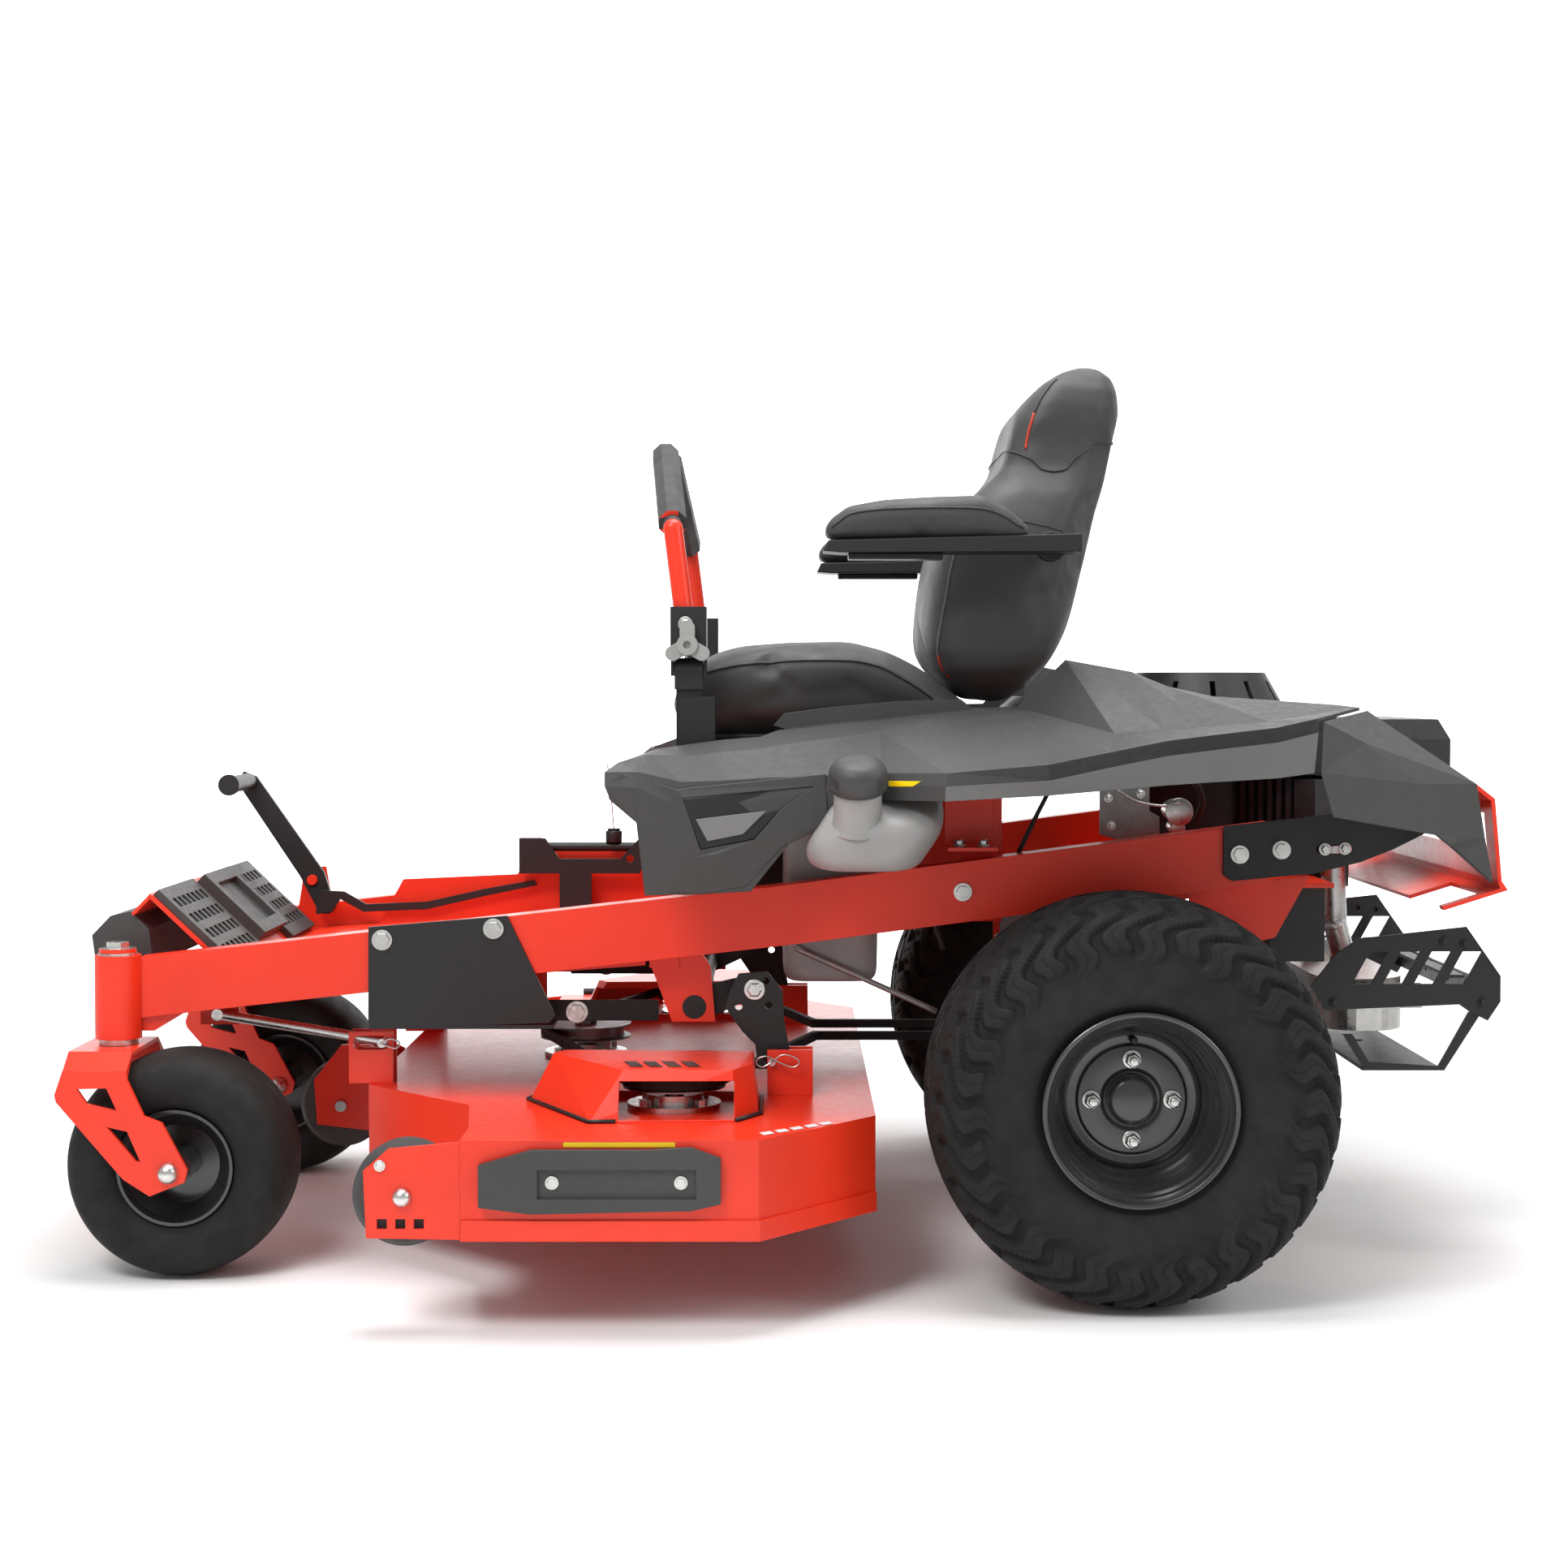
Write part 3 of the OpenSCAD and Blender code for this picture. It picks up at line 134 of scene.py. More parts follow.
class Nodes:
    """A small hand for building one material's nodes."""

    def __init__(self, name):
        self.mat = bpy.data.materials.new(name)
        self.mat.use_nodes = True
        self.tree = self.mat.node_tree
        self.bsdf = self.tree.nodes["Principled BSDF"]
        self.coord = self.tree.nodes.new("ShaderNodeTexCoord")

    def put(self, kind, **values):
        n = self.tree.nodes.new(kind)
        for k, v in values.items():
            setattr(n, k, v)
        return n

    def link(self, a, b):
        self.tree.links.new(a, b)

    def noise(self, scale, detail=4, rough=0.5):
        n = self.put("ShaderNodeTexNoise")
        n.inputs["Scale"].default_value = scale
        n.inputs["Detail"].default_value = detail
        n.inputs["Roughness"].default_value = rough
        self.link(self.coord.outputs["Object"], n.inputs["Vector"])
        return n.outputs["Fac"]

    def cells(self, scale, feature="F1"):
        n = self.put("ShaderNodeTexVoronoi", feature=feature)
        n.inputs["Scale"].default_value = scale
        self.link(self.coord.outputs["Object"], n.inputs["Vector"])
        return n.outputs["Distance"]

    def ramp(self, source, stops):
        n = self.put("ShaderNodeValToRGB")
        while len(n.color_ramp.elements) < len(stops):
            n.color_ramp.elements.new(0.5)
        for e, (at, c) in zip(n.color_ramp.elements, stops):
            e.position = at
            e.color = (*c, 1) if len(c) == 3 else c
        self.link(source, n.inputs["Fac"])
        return n.outputs["Color"]

    def span(self, source, lo, hi):
        n = self.put("ShaderNodeMapRange")
        n.inputs["To Min"].default_value = lo
        n.inputs["To Max"].default_value = hi
        n.inputs["From Min"].default_value = 0.3
        n.inputs["From Max"].default_value = 0.7
        self.link(source, n.inputs["Value"])
        return n.outputs["Result"]

    def mix(self, fac, a, b):
        n = self.put("ShaderNodeMix", data_type="RGBA")
        self.link(fac, n.inputs[0])
        for s, v in ((6, a), (7, b)):
            if hasattr(v, "is_output"):
                self.link(v, n.inputs[s])
            else:
                n.inputs[s].default_value = (*v, 1)
        return n.outputs[2]

    def surface(self, layers, round_edges=0.0):
        """Bumps of the given (height source, strength, distance), over rounded edges."""
        normal = None
        if round_edges:
            b = self.put("ShaderNodeBevel", samples=4)
            b.inputs["Radius"].default_value = round_edges
            normal = b.outputs["Normal"]
        for source, strength, distance in layers:
            b = self.put("ShaderNodeBump")
            b.inputs["Strength"].default_value = strength
            b.inputs["Distance"].default_value = distance
            self.link(source, b.inputs["Height"])
            if normal is not None:
                self.link(normal, b.inputs["Normal"])
            normal = b.outputs["Normal"]
        if normal is not None:
            self.link(normal, self.bsdf.inputs["Normal"])

    def color(self, source):
        self.link(source, self.bsdf.inputs["Base Color"])

    def rough(self, source):
        self.link(source, self.bsdf.inputs["Roughness"])

    def set(self, **values):
        for k, v in values.items():
            self.bsdf.inputs[k.replace("_", " ")].default_value = v


def shade(c, k):
    return tuple(min(1, x * k) for x in c)


def painted(name, c, rough=0.3, coat=0.5, peel=0.12, edge=0.0012):
    n = Nodes(name)
    tone = n.noise(7, 3)
    dust = n.noise(60, 6, 0.7)
    n.color(n.mix(n.span(tone, 0, 1), shade(c, 0.92), shade(c, 1.06)))
    n.rough(n.span(dust, rough - 0.05, rough + 0.08))
    n.surface([(n.noise(160, 2), peel, 0.0002)] if peel else [], edge)
    n.set(Coat_Weight=coat, Coat_Roughness=0.2, IOR=1.45)
    return n.mat


def moulded(name, c, rough=0.55, grain=900, depth=0.25, edge=0.0015):
    n = Nodes(name)
    tone = n.noise(5, 3)
    n.color(n.mix(n.span(tone, 0, 1), shade(c, 0.9), shade(c, 1.12)))
    n.rough(n.span(n.noise(90, 5), rough - 0.06, rough + 0.08))
    n.surface([(n.cells(grain), depth, 0.0004), (n.noise(grain * 1.7, 2), depth * 0.6, 0.0003)], edge)
    n.set(Specular_IOR_Level=0.45)
    return n.mat


def metal(name, c, rough=0.35, metallic=1.0, streak=140, edge=0.0008):
    n = Nodes(name)
    n.color(n.mix(n.span(n.noise(25, 5), 0, 1), shade(c, 0.82), shade(c, 1.1)))
    n.rough(n.span(n.noise(streak, 6, 0.65), rough - 0.1, rough + 0.12))
    n.surface([(n.noise(600, 3), 0.15, 0.0003)], edge)
    n.set(Metallic=metallic)
    return n.mat


def rubber(name, c, rough=0.75):
    n = Nodes(name)
    tone = n.noise(9, 5, 0.6)
    n.color(n.ramp(tone, [(0.3, shade(c, 0.75)), (0.55, c), (0.75, shade(c, 1.5))]))
    n.rough(n.span(n.noise(40, 6), rough - 0.1, rough + 0.1))
    n.surface([(n.noise(900, 4), 0.25, 0.0004), (n.noise(160, 5), 0.12, 0.0008)], 0.0008)
    n.set(Specular_IOR_Level=0.35)
    return n.mat


def vinyl(name, c, rough=0.5):
    n = Nodes(name)
    tone = n.noise(6, 4)
    n.color(n.mix(n.span(tone, 0, 1), shade(c, 0.88), shade(c, 1.14)))
    n.rough(n.span(n.noise(30, 6), rough - 0.06, rough + 0.1))
    n.surface([(n.cells(520, "F1"), 0.35, 0.0006), (n.noise(1400, 3), 0.2, 0.0003),
               (n.noise(24, 3), 0.12, 0.003)])
    n.set(Specular_IOR_Level=0.5, Sheen_Weight=0.08, Sheen_Roughness=0.5)
    return n.mat


def polythene(name):
    n = Nodes(name)
    n.color(n.mix(n.span(n.noise(10, 4), 0, 1), (0.25, 0.243, 0.238), (0.33, 0.322, 0.315)))
    n.rough(n.span(n.noise(60, 4), 0.35, 0.5))
    n.surface([(n.noise(300, 4), 0.2, 0.0005)], 0.004)
    n.set(Subsurface_Weight=0.4, Subsurface_Scale=0.01)
    return n.mat


RED = (0.80, 0.030, 0.005)
M = {
    "red_paint": painted("red_paint", RED, 0.42, 0.22, 0.04),
    "black_paint": painted("black_paint", (0.011, 0.011, 0.012), 0.5, 0.08, 0.12),
    "grey_plastic": moulded("grey_plastic", (0.046, 0.046, 0.045), 0.55),
    "tank_plastic": polythene("tank_plastic"),
    "cap_plastic": moulded("cap_plastic", (0.045, 0.045, 0.045), 0.5, 1200),
    "engine_casting": metal("engine_casting", (0.03, 0.03, 0.032), 0.5, 0.3),
    "engine_shroud": moulded("engine_shroud", (0.024, 0.024, 0.024), 0.42),
    "muffler_metal": metal("muffler_metal", (0.6, 0.59, 0.57), 0.32),
    "battery_case": moulded("battery_case", (0.03, 0.03, 0.03), 0.5),
    "transaxle_casting": metal("transaxle_casting", (0.3, 0.3, 0.3), 0.5, 0.8),
    "zinc": metal("zinc", (0.66, 0.66, 0.64), 0.3),
    "rim_paint": painted("rim_paint", (0.020, 0.020, 0.021), 0.3, 0.9, 0),
    "tyre_rubber": rubber("tyre_rubber", (0.010, 0.010, 0.010), 0.78),
    "knob_plastic": moulded("knob_plastic", (0.3, 0.3, 0.29), 0.5),
    "seat_vinyl": vinyl("seat_vinyl", (0.030, 0.030, 0.029), 0.56),
    "belt_rubber": rubber("belt_rubber", (0.02, 0.02, 0.02), 0.8),
    "blade_steel": metal("blade_steel", (0.3, 0.3, 0.31), 0.4),
    "pulley_steel": metal("pulley_steel", (0.33, 0.33, 0.33), 0.38),
    "wheel_plastic": moulded("wheel_plastic", (0.05, 0.05, 0.05), 0.6),
    "chute_rubber": moulded("chute_rubber", (0.02, 0.02, 0.02), 0.6),
    "pto_yellow": moulded("pto_yellow", (0.85, 0.5, 0.02), 0.35),
    "vinyl_dark": vinyl("vinyl_dark", (0.012, 0.012, 0.012), 0.5),
    "grip_rubber": rubber("grip_rubber", (0.045, 0.045, 0.045), 0.6),
    "vinyl_edge": vinyl("vinyl_edge", (0.11, 0.11, 0.108), 0.5),
    "piping_red": vinyl("piping_red", (0.55, 0.03, 0.008), 0.5),
    "cable_black": rubber("cable_black", (0.012, 0.012, 0.012), 0.45),
    "yellow_mark": moulded("yellow_mark", (0.85, 0.55, 0.0), 0.4),
    "white_mark": moulded("white_mark", (0.72, 0.72, 0.72), 0.4),
    "grey_mark": moulded("grey_mark", (0.19, 0.19, 0.19), 0.4),
    "black_mark": moulded("black_mark", (0.012, 0.012, 0.012), 0.4),
    # painted highlight: a lighter grey that stands for light falling on a facet, used only on the fender's
    # lower strip
    "light_plastic": moulded("light_plastic", (0.12, 0.12, 0.118), 0.5),
}


def floor_material():
    n = Nodes("studio_white")
    n.color(n.mix(n.span(n.noise(0.6, 2), 0, 1), (0.86, 0.86, 0.86), (0.9, 0.9, 0.9)))
    n.rough(n.span(n.noise(3, 2), 0.8, 0.95))
    return n.mat


floor.data.materials.append(floor_material())

slot_of = {s["node"]: s.get("material_slot", s["node"]) for s in frame["record"]["subparts"]}
for name, o in nodes.items():
    o.data.materials.clear()
    o.data.materials.append(M[slot_of[name]])


def repaint(node, material, test):
    """Faces of a CAD node whose middle passes the test, in datum millimetres, take another material."""
    mesh = nodes[node].data
    mesh.materials.append(M[material])
    k = len(mesh.materials) - 1
    for p in mesh.polygons:
        c = p.center
        if test(1000 * (c[0] - OX), 1000 * (c[1] - OY), 1000 * c[2]):
            p.material_index = k


for name in ("fender_left", "fender_right", "rear_cowl"):
    for p in nodes[name].data.polygons:
        p.use_smooth = False


def groove_height(x):
    """Height of the groove along the fender's outer edge; faces above it are painted dark as the groove's
    shadow, and faces below it are painted lighter as a lit facet.
    """
    return float(np.interp(x, (125, 200, 325, 400, 470, 535, 605, 656),
                           (650, 652, 660, 676, 690, 698, 706, 718)))


# Painted shade and light on the fender's outer edge: faces above the groove are painted black as its shadow,
# and the strip below is painted lighter as a lit facet.
for s in ("left", "right"):
    repaint("fender_" + s, "black_mark",
            lambda x, y, z: abs(y) > 535 and x > 150 and z > groove_height(x) + 1)
    repaint("fender_" + s, "light_plastic",
            lambda x, y, z: abs(y) > 535 and x > 150 and z < groove_height(x) - 1)

# ---------- making pieces ----------


def piece(name, verts, faces, material, body, slot=None, smooth=True, hides=()):
    mesh = bpy.data.meshes.new(name)
    mesh.from_pydata([tuple(v) for v in verts], [], faces)
    mesh.validate()
    mesh.update()
    bm = bmesh.new()
    bm.from_mesh(mesh)
    bmesh.ops.recalc_face_normals(bm, faces=bm.faces)
    bm.to_mesh(mesh)
    bm.free()
    for p in mesh.polygons:
        p.use_smooth = smooth
    o = bpy.data.objects.new(name, mesh)
    scene.collection.objects.link(o)
    mesh.materials.append(M[material])
    settle(o, body, hides)
    return o


def settle(o, body, hides=()):
    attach(o, body)
    if hides:
        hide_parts(*hides)


def bevelled(o, width=0.0015, segments=2, angle=40):
    b = o.modifiers.new("bevel", "BEVEL")
    b.width = width
    b.segments = segments
    b.limit_method = "ANGLE"
    b.angle_limit = math.radians(angle)
    return o


def tube(points, r, sides=10, closed=False):
    """A round tube along a list of points."""
    pts = [Vector(p) for p in points]
    n = len(pts)
    verts, faces = [], []
    normal = None
    for i, p in enumerate(pts):
        a = pts[(i - 1) % n] if closed or i > 0 else p
        b = pts[(i + 1) % n] if closed or i < n - 1 else p
        t = (b - a).normalized()
        if normal is None:
            normal = t.orthogonal().normalized()
        normal = (normal - normal.dot(t) * t).normalized()
        side = t.cross(normal)
        radius = r[i] if isinstance(r, (list, tuple)) else r
        for k in range(sides):
            w = 2 * math.pi * k / sides
            verts.append(p + radius * (math.cos(w) * normal + math.sin(w) * side))
    runs = n if closed else n - 1
    for i in range(runs):
        j = (i + 1) % n
        for k in range(sides):
            q = (k + 1) % sides
            faces.append([i * sides + k, i * sides + q, j * sides + q, j * sides + k])
    if not closed:
        faces.append(list(range(sides))[::-1])
        faces.append([(n - 1) * sides + k for k in range(sides)])
    return verts, faces


def smooth_path(points, steps=8, closed=False):
    """Catmull-Rom curve through the points."""
    p = [Vector(q) for q in points]
    out = []
    n = len(p)
    for i in range(n if closed else n - 1):
        a = p[(i - 1) % n] if closed or i > 0 else p[i] * 2 - p[i + 1]
        b, c = p[i], p[(i + 1) % n]
        d = p[(i + 2) % n] if closed or i + 2 < n else c * 2 - b
        for k in range(steps):
            t = k / steps
            out.append(0.5 * (2 * b + (c - a) * t + (2 * a - 5 * b + 4 * c - d) * t * t
                              + (3 * b - a - 3 * c + d) * t ** 3))
    if not closed:
        out.append(p[-1])
    return out


def merged(parts):
    verts, faces = [], []
    for v, f in parts:
        k = len(verts)
        verts += list(v)
        faces += [[i + k for i in q] for q in f]
    return verts, faces


def plate(outline, y0, t):
    """Prism of an XZ outline in datum millimetres from y0 towards +Y."""
    n = len(outline)
    verts = [D(x, y0, z) for x, z in outline] + [D(x, y0 + t, z) for x, z in outline]
    faces = [list(range(n))[::-1], [n + i for i in range(n)]]
    faces += [[i, (i + 1) % n, n + (i + 1) % n, n + i] for i in range(n)]
    return verts, faces


def disc(x, y, z, r, t, sides=28, axis="y"):
    """A short closed cylinder at a datum place, along Y by default, t thick along the axis."""
    ring = [(r * math.cos(2 * math.pi * k / sides), r * math.sin(2 * math.pi * k / sides))
            for k in range(sides)]
    if axis == "y":
        verts = [D(x + a, y, z + b) for a, b in ring] + [D(x + a, y + t, z + b) for a, b in ring]
    elif axis == "x":
        verts = [D(x, y + a, z + b) for a, b in ring] + [D(x + t, y + a, z + b) for a, b in ring]
    else:
        verts = [D(x + a, y + b, z) for a, b in ring] + [D(x + a, y + b, z + t) for a, b in ring]
    faces = [list(range(sides))[::-1], [sides + k for k in range(sides)]]
    faces += [[k, (k + 1) % sides, sides + (k + 1) % sides, sides + k] for k in range(sides)]
    return verts, faces


def loft(rings, cap=True):
    n = len(rings[0])
    verts = [v for r in rings for v in r]
    faces = []
    for i in range(len(rings) - 1):
        for k in range(n):
            q = (k + 1) % n
            faces.append([i * n + k, i * n + q, (i + 1) * n + q, (i + 1) * n + k])
    if cap:
        faces.append(list(range(n))[::-1])
        faces.append([(len(rings) - 1) * n + k for k in range(n)])
    return verts, faces


def sup(w, e):
    c, s = math.cos(w), math.sin(w)
    return (math.copysign(abs(c) ** (2 / e), c), math.copysign(abs(s) ** (2 / e), s))


def tree_of(o):
    depsgraph = bpy.context.evaluated_depsgraph_get()
    return BVHTree.FromObject(o, depsgraph)


# ---------- tyres ----------


def step(x, a, b):
    t = min(1, max(0, (x - a) / (b - a)))
    return t * t * (3 - 2 * t)


def wave(x):
    """Distance of x from the nearest whole number, 0 to 0.5."""
    return abs(x - math.floor(x + 0.5))


def tyre_section(half_points, count):
    """Even points along a tyre's section, bead to bead, each with its normal and way from the crown."""
    left = [Vector((r, -y, 0)) for r, y in half_points]
    right = [Vector((r, y, 0)) for r, y in half_points[-2::-1]]
    curve = smooth_path(left + right, 24)
    run = np.concatenate([[0], np.cumsum([(curve[i + 1] - curve[i]).length
                                          for i in range(len(curve) - 1)])])
    out = []
    for d in np.linspace(0, run[-1], count):
        x = float(np.interp(d, run, [c[0] for c in curve]))
        y = float(np.interp(d, run, [c[1] for c in curve]))
        out.append((x, y, abs(d - run[-1] / 2)))
    section = []
    for i, (x, y, w) in enumerate(out):
        a, b = out[max(0, i - 1)], out[min(count - 1, i + 1)]
        t = Vector((b[0] - a[0], b[1] - a[1])).normalized()
        n = Vector((t[1], -t[0]))
        section.append((x, y, n if n.dot(Vector((x - 0.6 * half_points[-1][0], y))) > 0 else -n, w))
    return section


def turned_tyre(name, node, body, section, around, offset):
    """Revolve a section, moving each point along its normal by offset(angle, point)."""
    c = middle(node)
    verts, faces = [], []
    m = len(section)
    for i in range(around):
        a = 2 * math.pi * i / around
        for q in section:
            d = offset(a, q)
            r, y = q[0] + q[2][0] * d, q[1] + q[2][1] * d
            verts.append((c[0] + r * math.cos(a), c[1] + y, c[2] + r * math.sin(a)))
    for i in range(around):
        k = (i + 1) % around
        for j in range(m):
            q = (j + 1) % m
            faces.append([i * m + j, k * m + j, k * m + q, i * m + q])
    return piece(name, verts, faces, "tyre_rubber", body, hides=[node])


DRIVE_SECTION = tyre_section([(0.1135, 0.098), (0.1215, 0.1045), (0.14, 0.1155), (0.165, 0.1222),
                              (0.19, 0.1238), (0.212, 0.1212), (0.232, 0.112), (0.246, 0.096),
                              (0.2535, 0.07), (0.2565, 0.035), (0.2575, 0)], 168)
FRONT_SECTION = tyre_section([(0.0735, 0.052), (0.080, 0.060), (0.092, 0.0685), (0.108, 0.074),
                              (0.122, 0.0725), (0.135, 0.0635), (0.143, 0.048), (0.1467, 0.025),
                              (0.1475, 0)], 80)


def turf_lugs(a, q):
    """Wavy lugs that start at the crown and reach over the shoulder, long and short in turn."""
    r, y, _, w = q
    pitches = 30
    hand = 1 if y > 0 else -1
    row = a / (2 * math.pi) * pitches + (0.5 if y > 0 else 0)
    row += hand * (2.3 * w / 0.15 + 0.26 * math.sin(w * 2 * math.pi / 0.058))
    reach = 0.176 if math.floor(row + 0.5) % 2 else 0.156
    lug = 1 - step(wave(row), 0.30, 0.365)
    lug *= 1 - step(w, reach - 0.004, reach + 0.004)
    rib = 1 - step(wave(a / (2 * math.pi) * pitches + 0.25 * hand), 0.34, 0.40)
    centre = (1 - step(w, 0.016, 0.020)) * rib * step(w, 0.0015, 0.004)
    block = max(lug * step(w, 0.024, 0.028), centre)
    sipe = 1 - step(wave(row), 0.018, 0.045)
    carcass = 1 - step(w, 0.150, 0.192)
    d = -0.0085 * carcass * (1 - block) - 0.0018 * sipe * block * step(w, 0.05, 0.07)
    for at, up in ((0.131, 0.0010), (0.1365, 0.0008), (0.198, 0.0007)):
        d += up * math.exp(-(((r - at) / 0.0016) ** 2)) * step(w, 0.18, 0.19)
    return d


def smooth_wall(_, q):
    """Fine raised rings on the side of a smooth front tyre, the same all the way round."""
    return sum(up * math.exp(-(((q[0] - at) / 0.0011) ** 2))
               for at, up in ((0.086, 0.0009), (0.090, 0.0007), (0.128, 0.0008),
                              (0.1325, 0.0006))) if q[3] > 0.05 else 0.0


def ring_form(centre, outline, hand, n=96):
    """A closed ring of (radius, outward) points about a wheel's axis; outward is away from the middle."""
    verts, faces = [], []
    m = len(outline)
    for i in range(n):
        a = 2 * math.pi * i / n
        for r, y in outline:
            verts.append((centre[0] + r * math.cos(a), centre[1] + hand * y, centre[2] + r * math.sin(a)))
    for i in range(n):
        k = (i + 1) % n
        for j in range(m):
            q = (j + 1) % m
            faces.append([i * m + j, k * m + j, k * m + q, i * m + q])
    return verts, faces


RIM = [(0.1150, 0.1170), (0.1185, 0.1180), (0.1208, 0.1165), (0.1212, 0.1140), (0.1200, 0.1115),
       (0.1165, 0.1080), (0.1118, 0.1030), (0.1095, 0.0970), (0.1085, 0.0600), (0.0910, 0.0420),
       (0.0910, -0.0300), (0.1085, -0.0580), (0.1110, -0.0980), (0.1200, -0.1115), (0.1205, -0.1160),
       (0.1165, -0.1160), (0.1070, -0.1050), (0.1040, -0.0600), (0.0875, -0.0320), (0.0875, 0.0170),
       (0.0885, 0.0400), (0.0935, 0.0465), (0.0945, 0.0590), (0.0985, 0.0640), (0.0998, 0.0800),
       (0.1030, 0.0840), (0.1040, 0.0975), (0.1080, 0.1015), (0.1090, 0.1080), (0.1125, 0.1115)]


def hex_nut(centre, x, z, y0, hand, r=0.0098, h=0.013, sides=6):
    rings = []
    for rr, yy in ((r, 0), (r, h * 0.8), (r * 0.82, h)):
        rings.append([Vector((centre[0] + x + rr * math.cos(2 * math.pi * k / sides + 0.3),
                              centre[1] + hand * (y0 + yy),
                              centre[2] + z + rr * math.sin(2 * math.pi * k / sides + 0.3)))
                              for k in range(sides)])
    return loft(rings)


def round_stud(centre, x, z, y0, y1, hand, r, sides=24, dome=0.0):
    rings = [[Vector((centre[0] + x + rr * math.cos(2 * math.pi * k / sides), centre[1] + hand * yy,
                      centre[2] + z + rr * math.sin(2 * math.pi * k / sides))) for k in range(sides)]
             for rr, yy in ((r, y0), (r, y1 - dome), (r * 0.9, y1 - dome * 0.4), (r * 0.72, y1))]
    return loft(rings)


def drive_rim(side, hand):
    c = middle("drive_rim_" + side)
    c[1] = middle("drive_tyre_" + side)[1]
    body = "drive_wheel_" + side
    bevelled(piece("rim_" + side, *ring_form(c, RIM, hand, 128), "rim_paint", body,
                   hides=["drive_rim_" + side]), 0.0006, 2, 25)
    disc_form = [(0.0300, 0.0200), (0.0870, 0.0200), (0.0878, 0.0262), (0.0800, 0.0285), (0.0735, 0.0262),
                 (0.0700, 0.0262), (0.0670, 0.0300), (0.0400, 0.0302), (0.0350, 0.0275), (0.0300, 0.0275)]
    bevelled(piece("rim_disc_" + side, *ring_form(c, disc_form, hand, 128), "rim_paint", body), 0.0005,
             2, 25)
    bevelled(piece("hub_cap_" + side, *round_stud(c, 0, 0, -0.02, 0.047, hand, 0.031, 64, 0.006),
                   "rim_paint", body), 0.001)
    bevelled(piece("hub_back_" + side, *round_stud(c, 0, 0, -0.144, 0.018, hand, 0.0198, 48),
                   "rim_paint", body), 0.001)
    drum = [(0.0205, -0.1200), (0.0590, -0.1200), (0.0600, -0.1185), (0.0600, 0.0190), (0.0205, 0.0190)]
    bevelled(piece("hub_drum_" + side, *ring_form(c, drum, hand, 96), "rim_paint", body), 0.001)
    places = [(0.0508 * math.cos(a), 0.0508 * math.sin(a))
              for a in (0, math.pi / 2, math.pi, 3 * math.pi / 2)]
    bevelled(piece("wheel_nuts_" + side, *merged(
        [round_stud(c, x, z, 0.0300, 0.0335, hand, 0.0122, 32, 0.001) for x, z in places]
        + [hex_nut(c, x, z, 0.0335, hand) for x, z in places]), "zinc", body, smooth=False), 0.0006)
    bevelled(piece("wheel_studs_" + side, *merged(
        [round_stud(c, x, z, 0.0460, 0.0540, hand, 0.0056, 24, 0.001) for x, z in places]), "zinc",
        body), 0.0004)
    bevelled(piece("valve_" + side, *round_stud(c, 0, 0.0768, 0.0262, 0.0520, hand, 0.0048, 24, 0.004),
                   "cable_black", body), 0.0006)


for s, hand in (("left", -1), ("right", 1)):
    turned_tyre("tyre_drive_" + s, "drive_tyre_" + s, "drive_wheel_" + s, DRIVE_SECTION, 720, turf_lugs)
    turned_tyre("front_tyre_" + s, "caster_tyre_" + s, "caster_wheel_" + s, FRONT_SECTION, 192, smooth_wall)
    drive_rim(s, hand)

for s, sign in (("left", -1), ("right", 1)):
    repaint("caster_fork_" + s, "zinc", lambda x, y, z: (
        (math.hypot(x + 793, z - 148) < 14.5 and not (87.5 < abs(abs(y) - 340) < 94.01
                                                      and math.hypot(x + 793, z - 148) > 10.5))
        or z > 428.9))
    repaint("lap_bar_" + s, "grip_rubber", lambda x, y, z: z > 985 and abs(y) < 276)
    repaint("lap_bar_" + s, "black_paint", lambda x, y, z: z < 881)

# ---------- padded seat ----------


def inflate(o, cap=0.014, voxel=0.006, pressure=3.0, frames=20):
    """Remesh, puff the form out as stuffed cloth, and keep the result as plain mesh."""
    mod = o.modifiers.new("remesh", "REMESH")
    mod.mode = "VOXEL"
    mod.voxel_size = voxel
    bake(o)
    rest = np.array([v.co[:] for v in o.data.vertices])
    cloth = o.modifiers.new("cloth", "CLOTH")
    st = cloth.settings
    st.quality = 5
    st.mass = 0.3
    st.tension_stiffness = 25
    st.compression_stiffness = 25
    st.shear_stiffness = 12
    st.bending_stiffness = 2.0
    st.use_pressure = True
    st.uniform_pressure_force = pressure
    st.effector_weights.gravity = 0
    cloth.collision_settings.use_collision = False
    cloth.point_cache.frame_start = 1
    cloth.point_cache.frame_end = frames
    for f in range(1, frames + 1):
        scene.frame_set(f)
    depsgraph = bpy.context.evaluated_depsgraph_get()
    ev = o.evaluated_get(depsgraph)
    now = np.array([v.co[:] for v in ev.data.vertices])
    o.modifiers.remove(cloth)
    scene.frame_set(1)
    move = now - rest
    d = np.linalg.norm(move, axis=1, keepdims=True)
    move *= np.minimum(1, cap / np.maximum(d, 1e-9))
    rest = rest + move
    o.data.vertices.foreach_set("co", rest.ravel())
    o.data.update()
    sm = o.modifiers.new("smooth", "SMOOTH")
    sm.iterations = 5
    sub = o.modifiers.new("sub", "SUBSURF")
    sub.levels = sub.render_levels = 1
    bake(o)
    for p in o.data.polygons:
        p.use_smooth = True


def bake(o):
    depsgraph = bpy.context.evaluated_depsgraph_get()
    mesh = bpy.data.meshes.new_from_object(o.evaluated_get(depsgraph))
    old = o.data
    o.modifiers.clear()
    o.data = mesh
    bpy.data.meshes.remove(old)


def interp(x, table):
    xs = [t[0] for t in table]
    return [float(np.interp(x, xs, [t[k] for t in table])) for k in range(1, len(table[0]))]


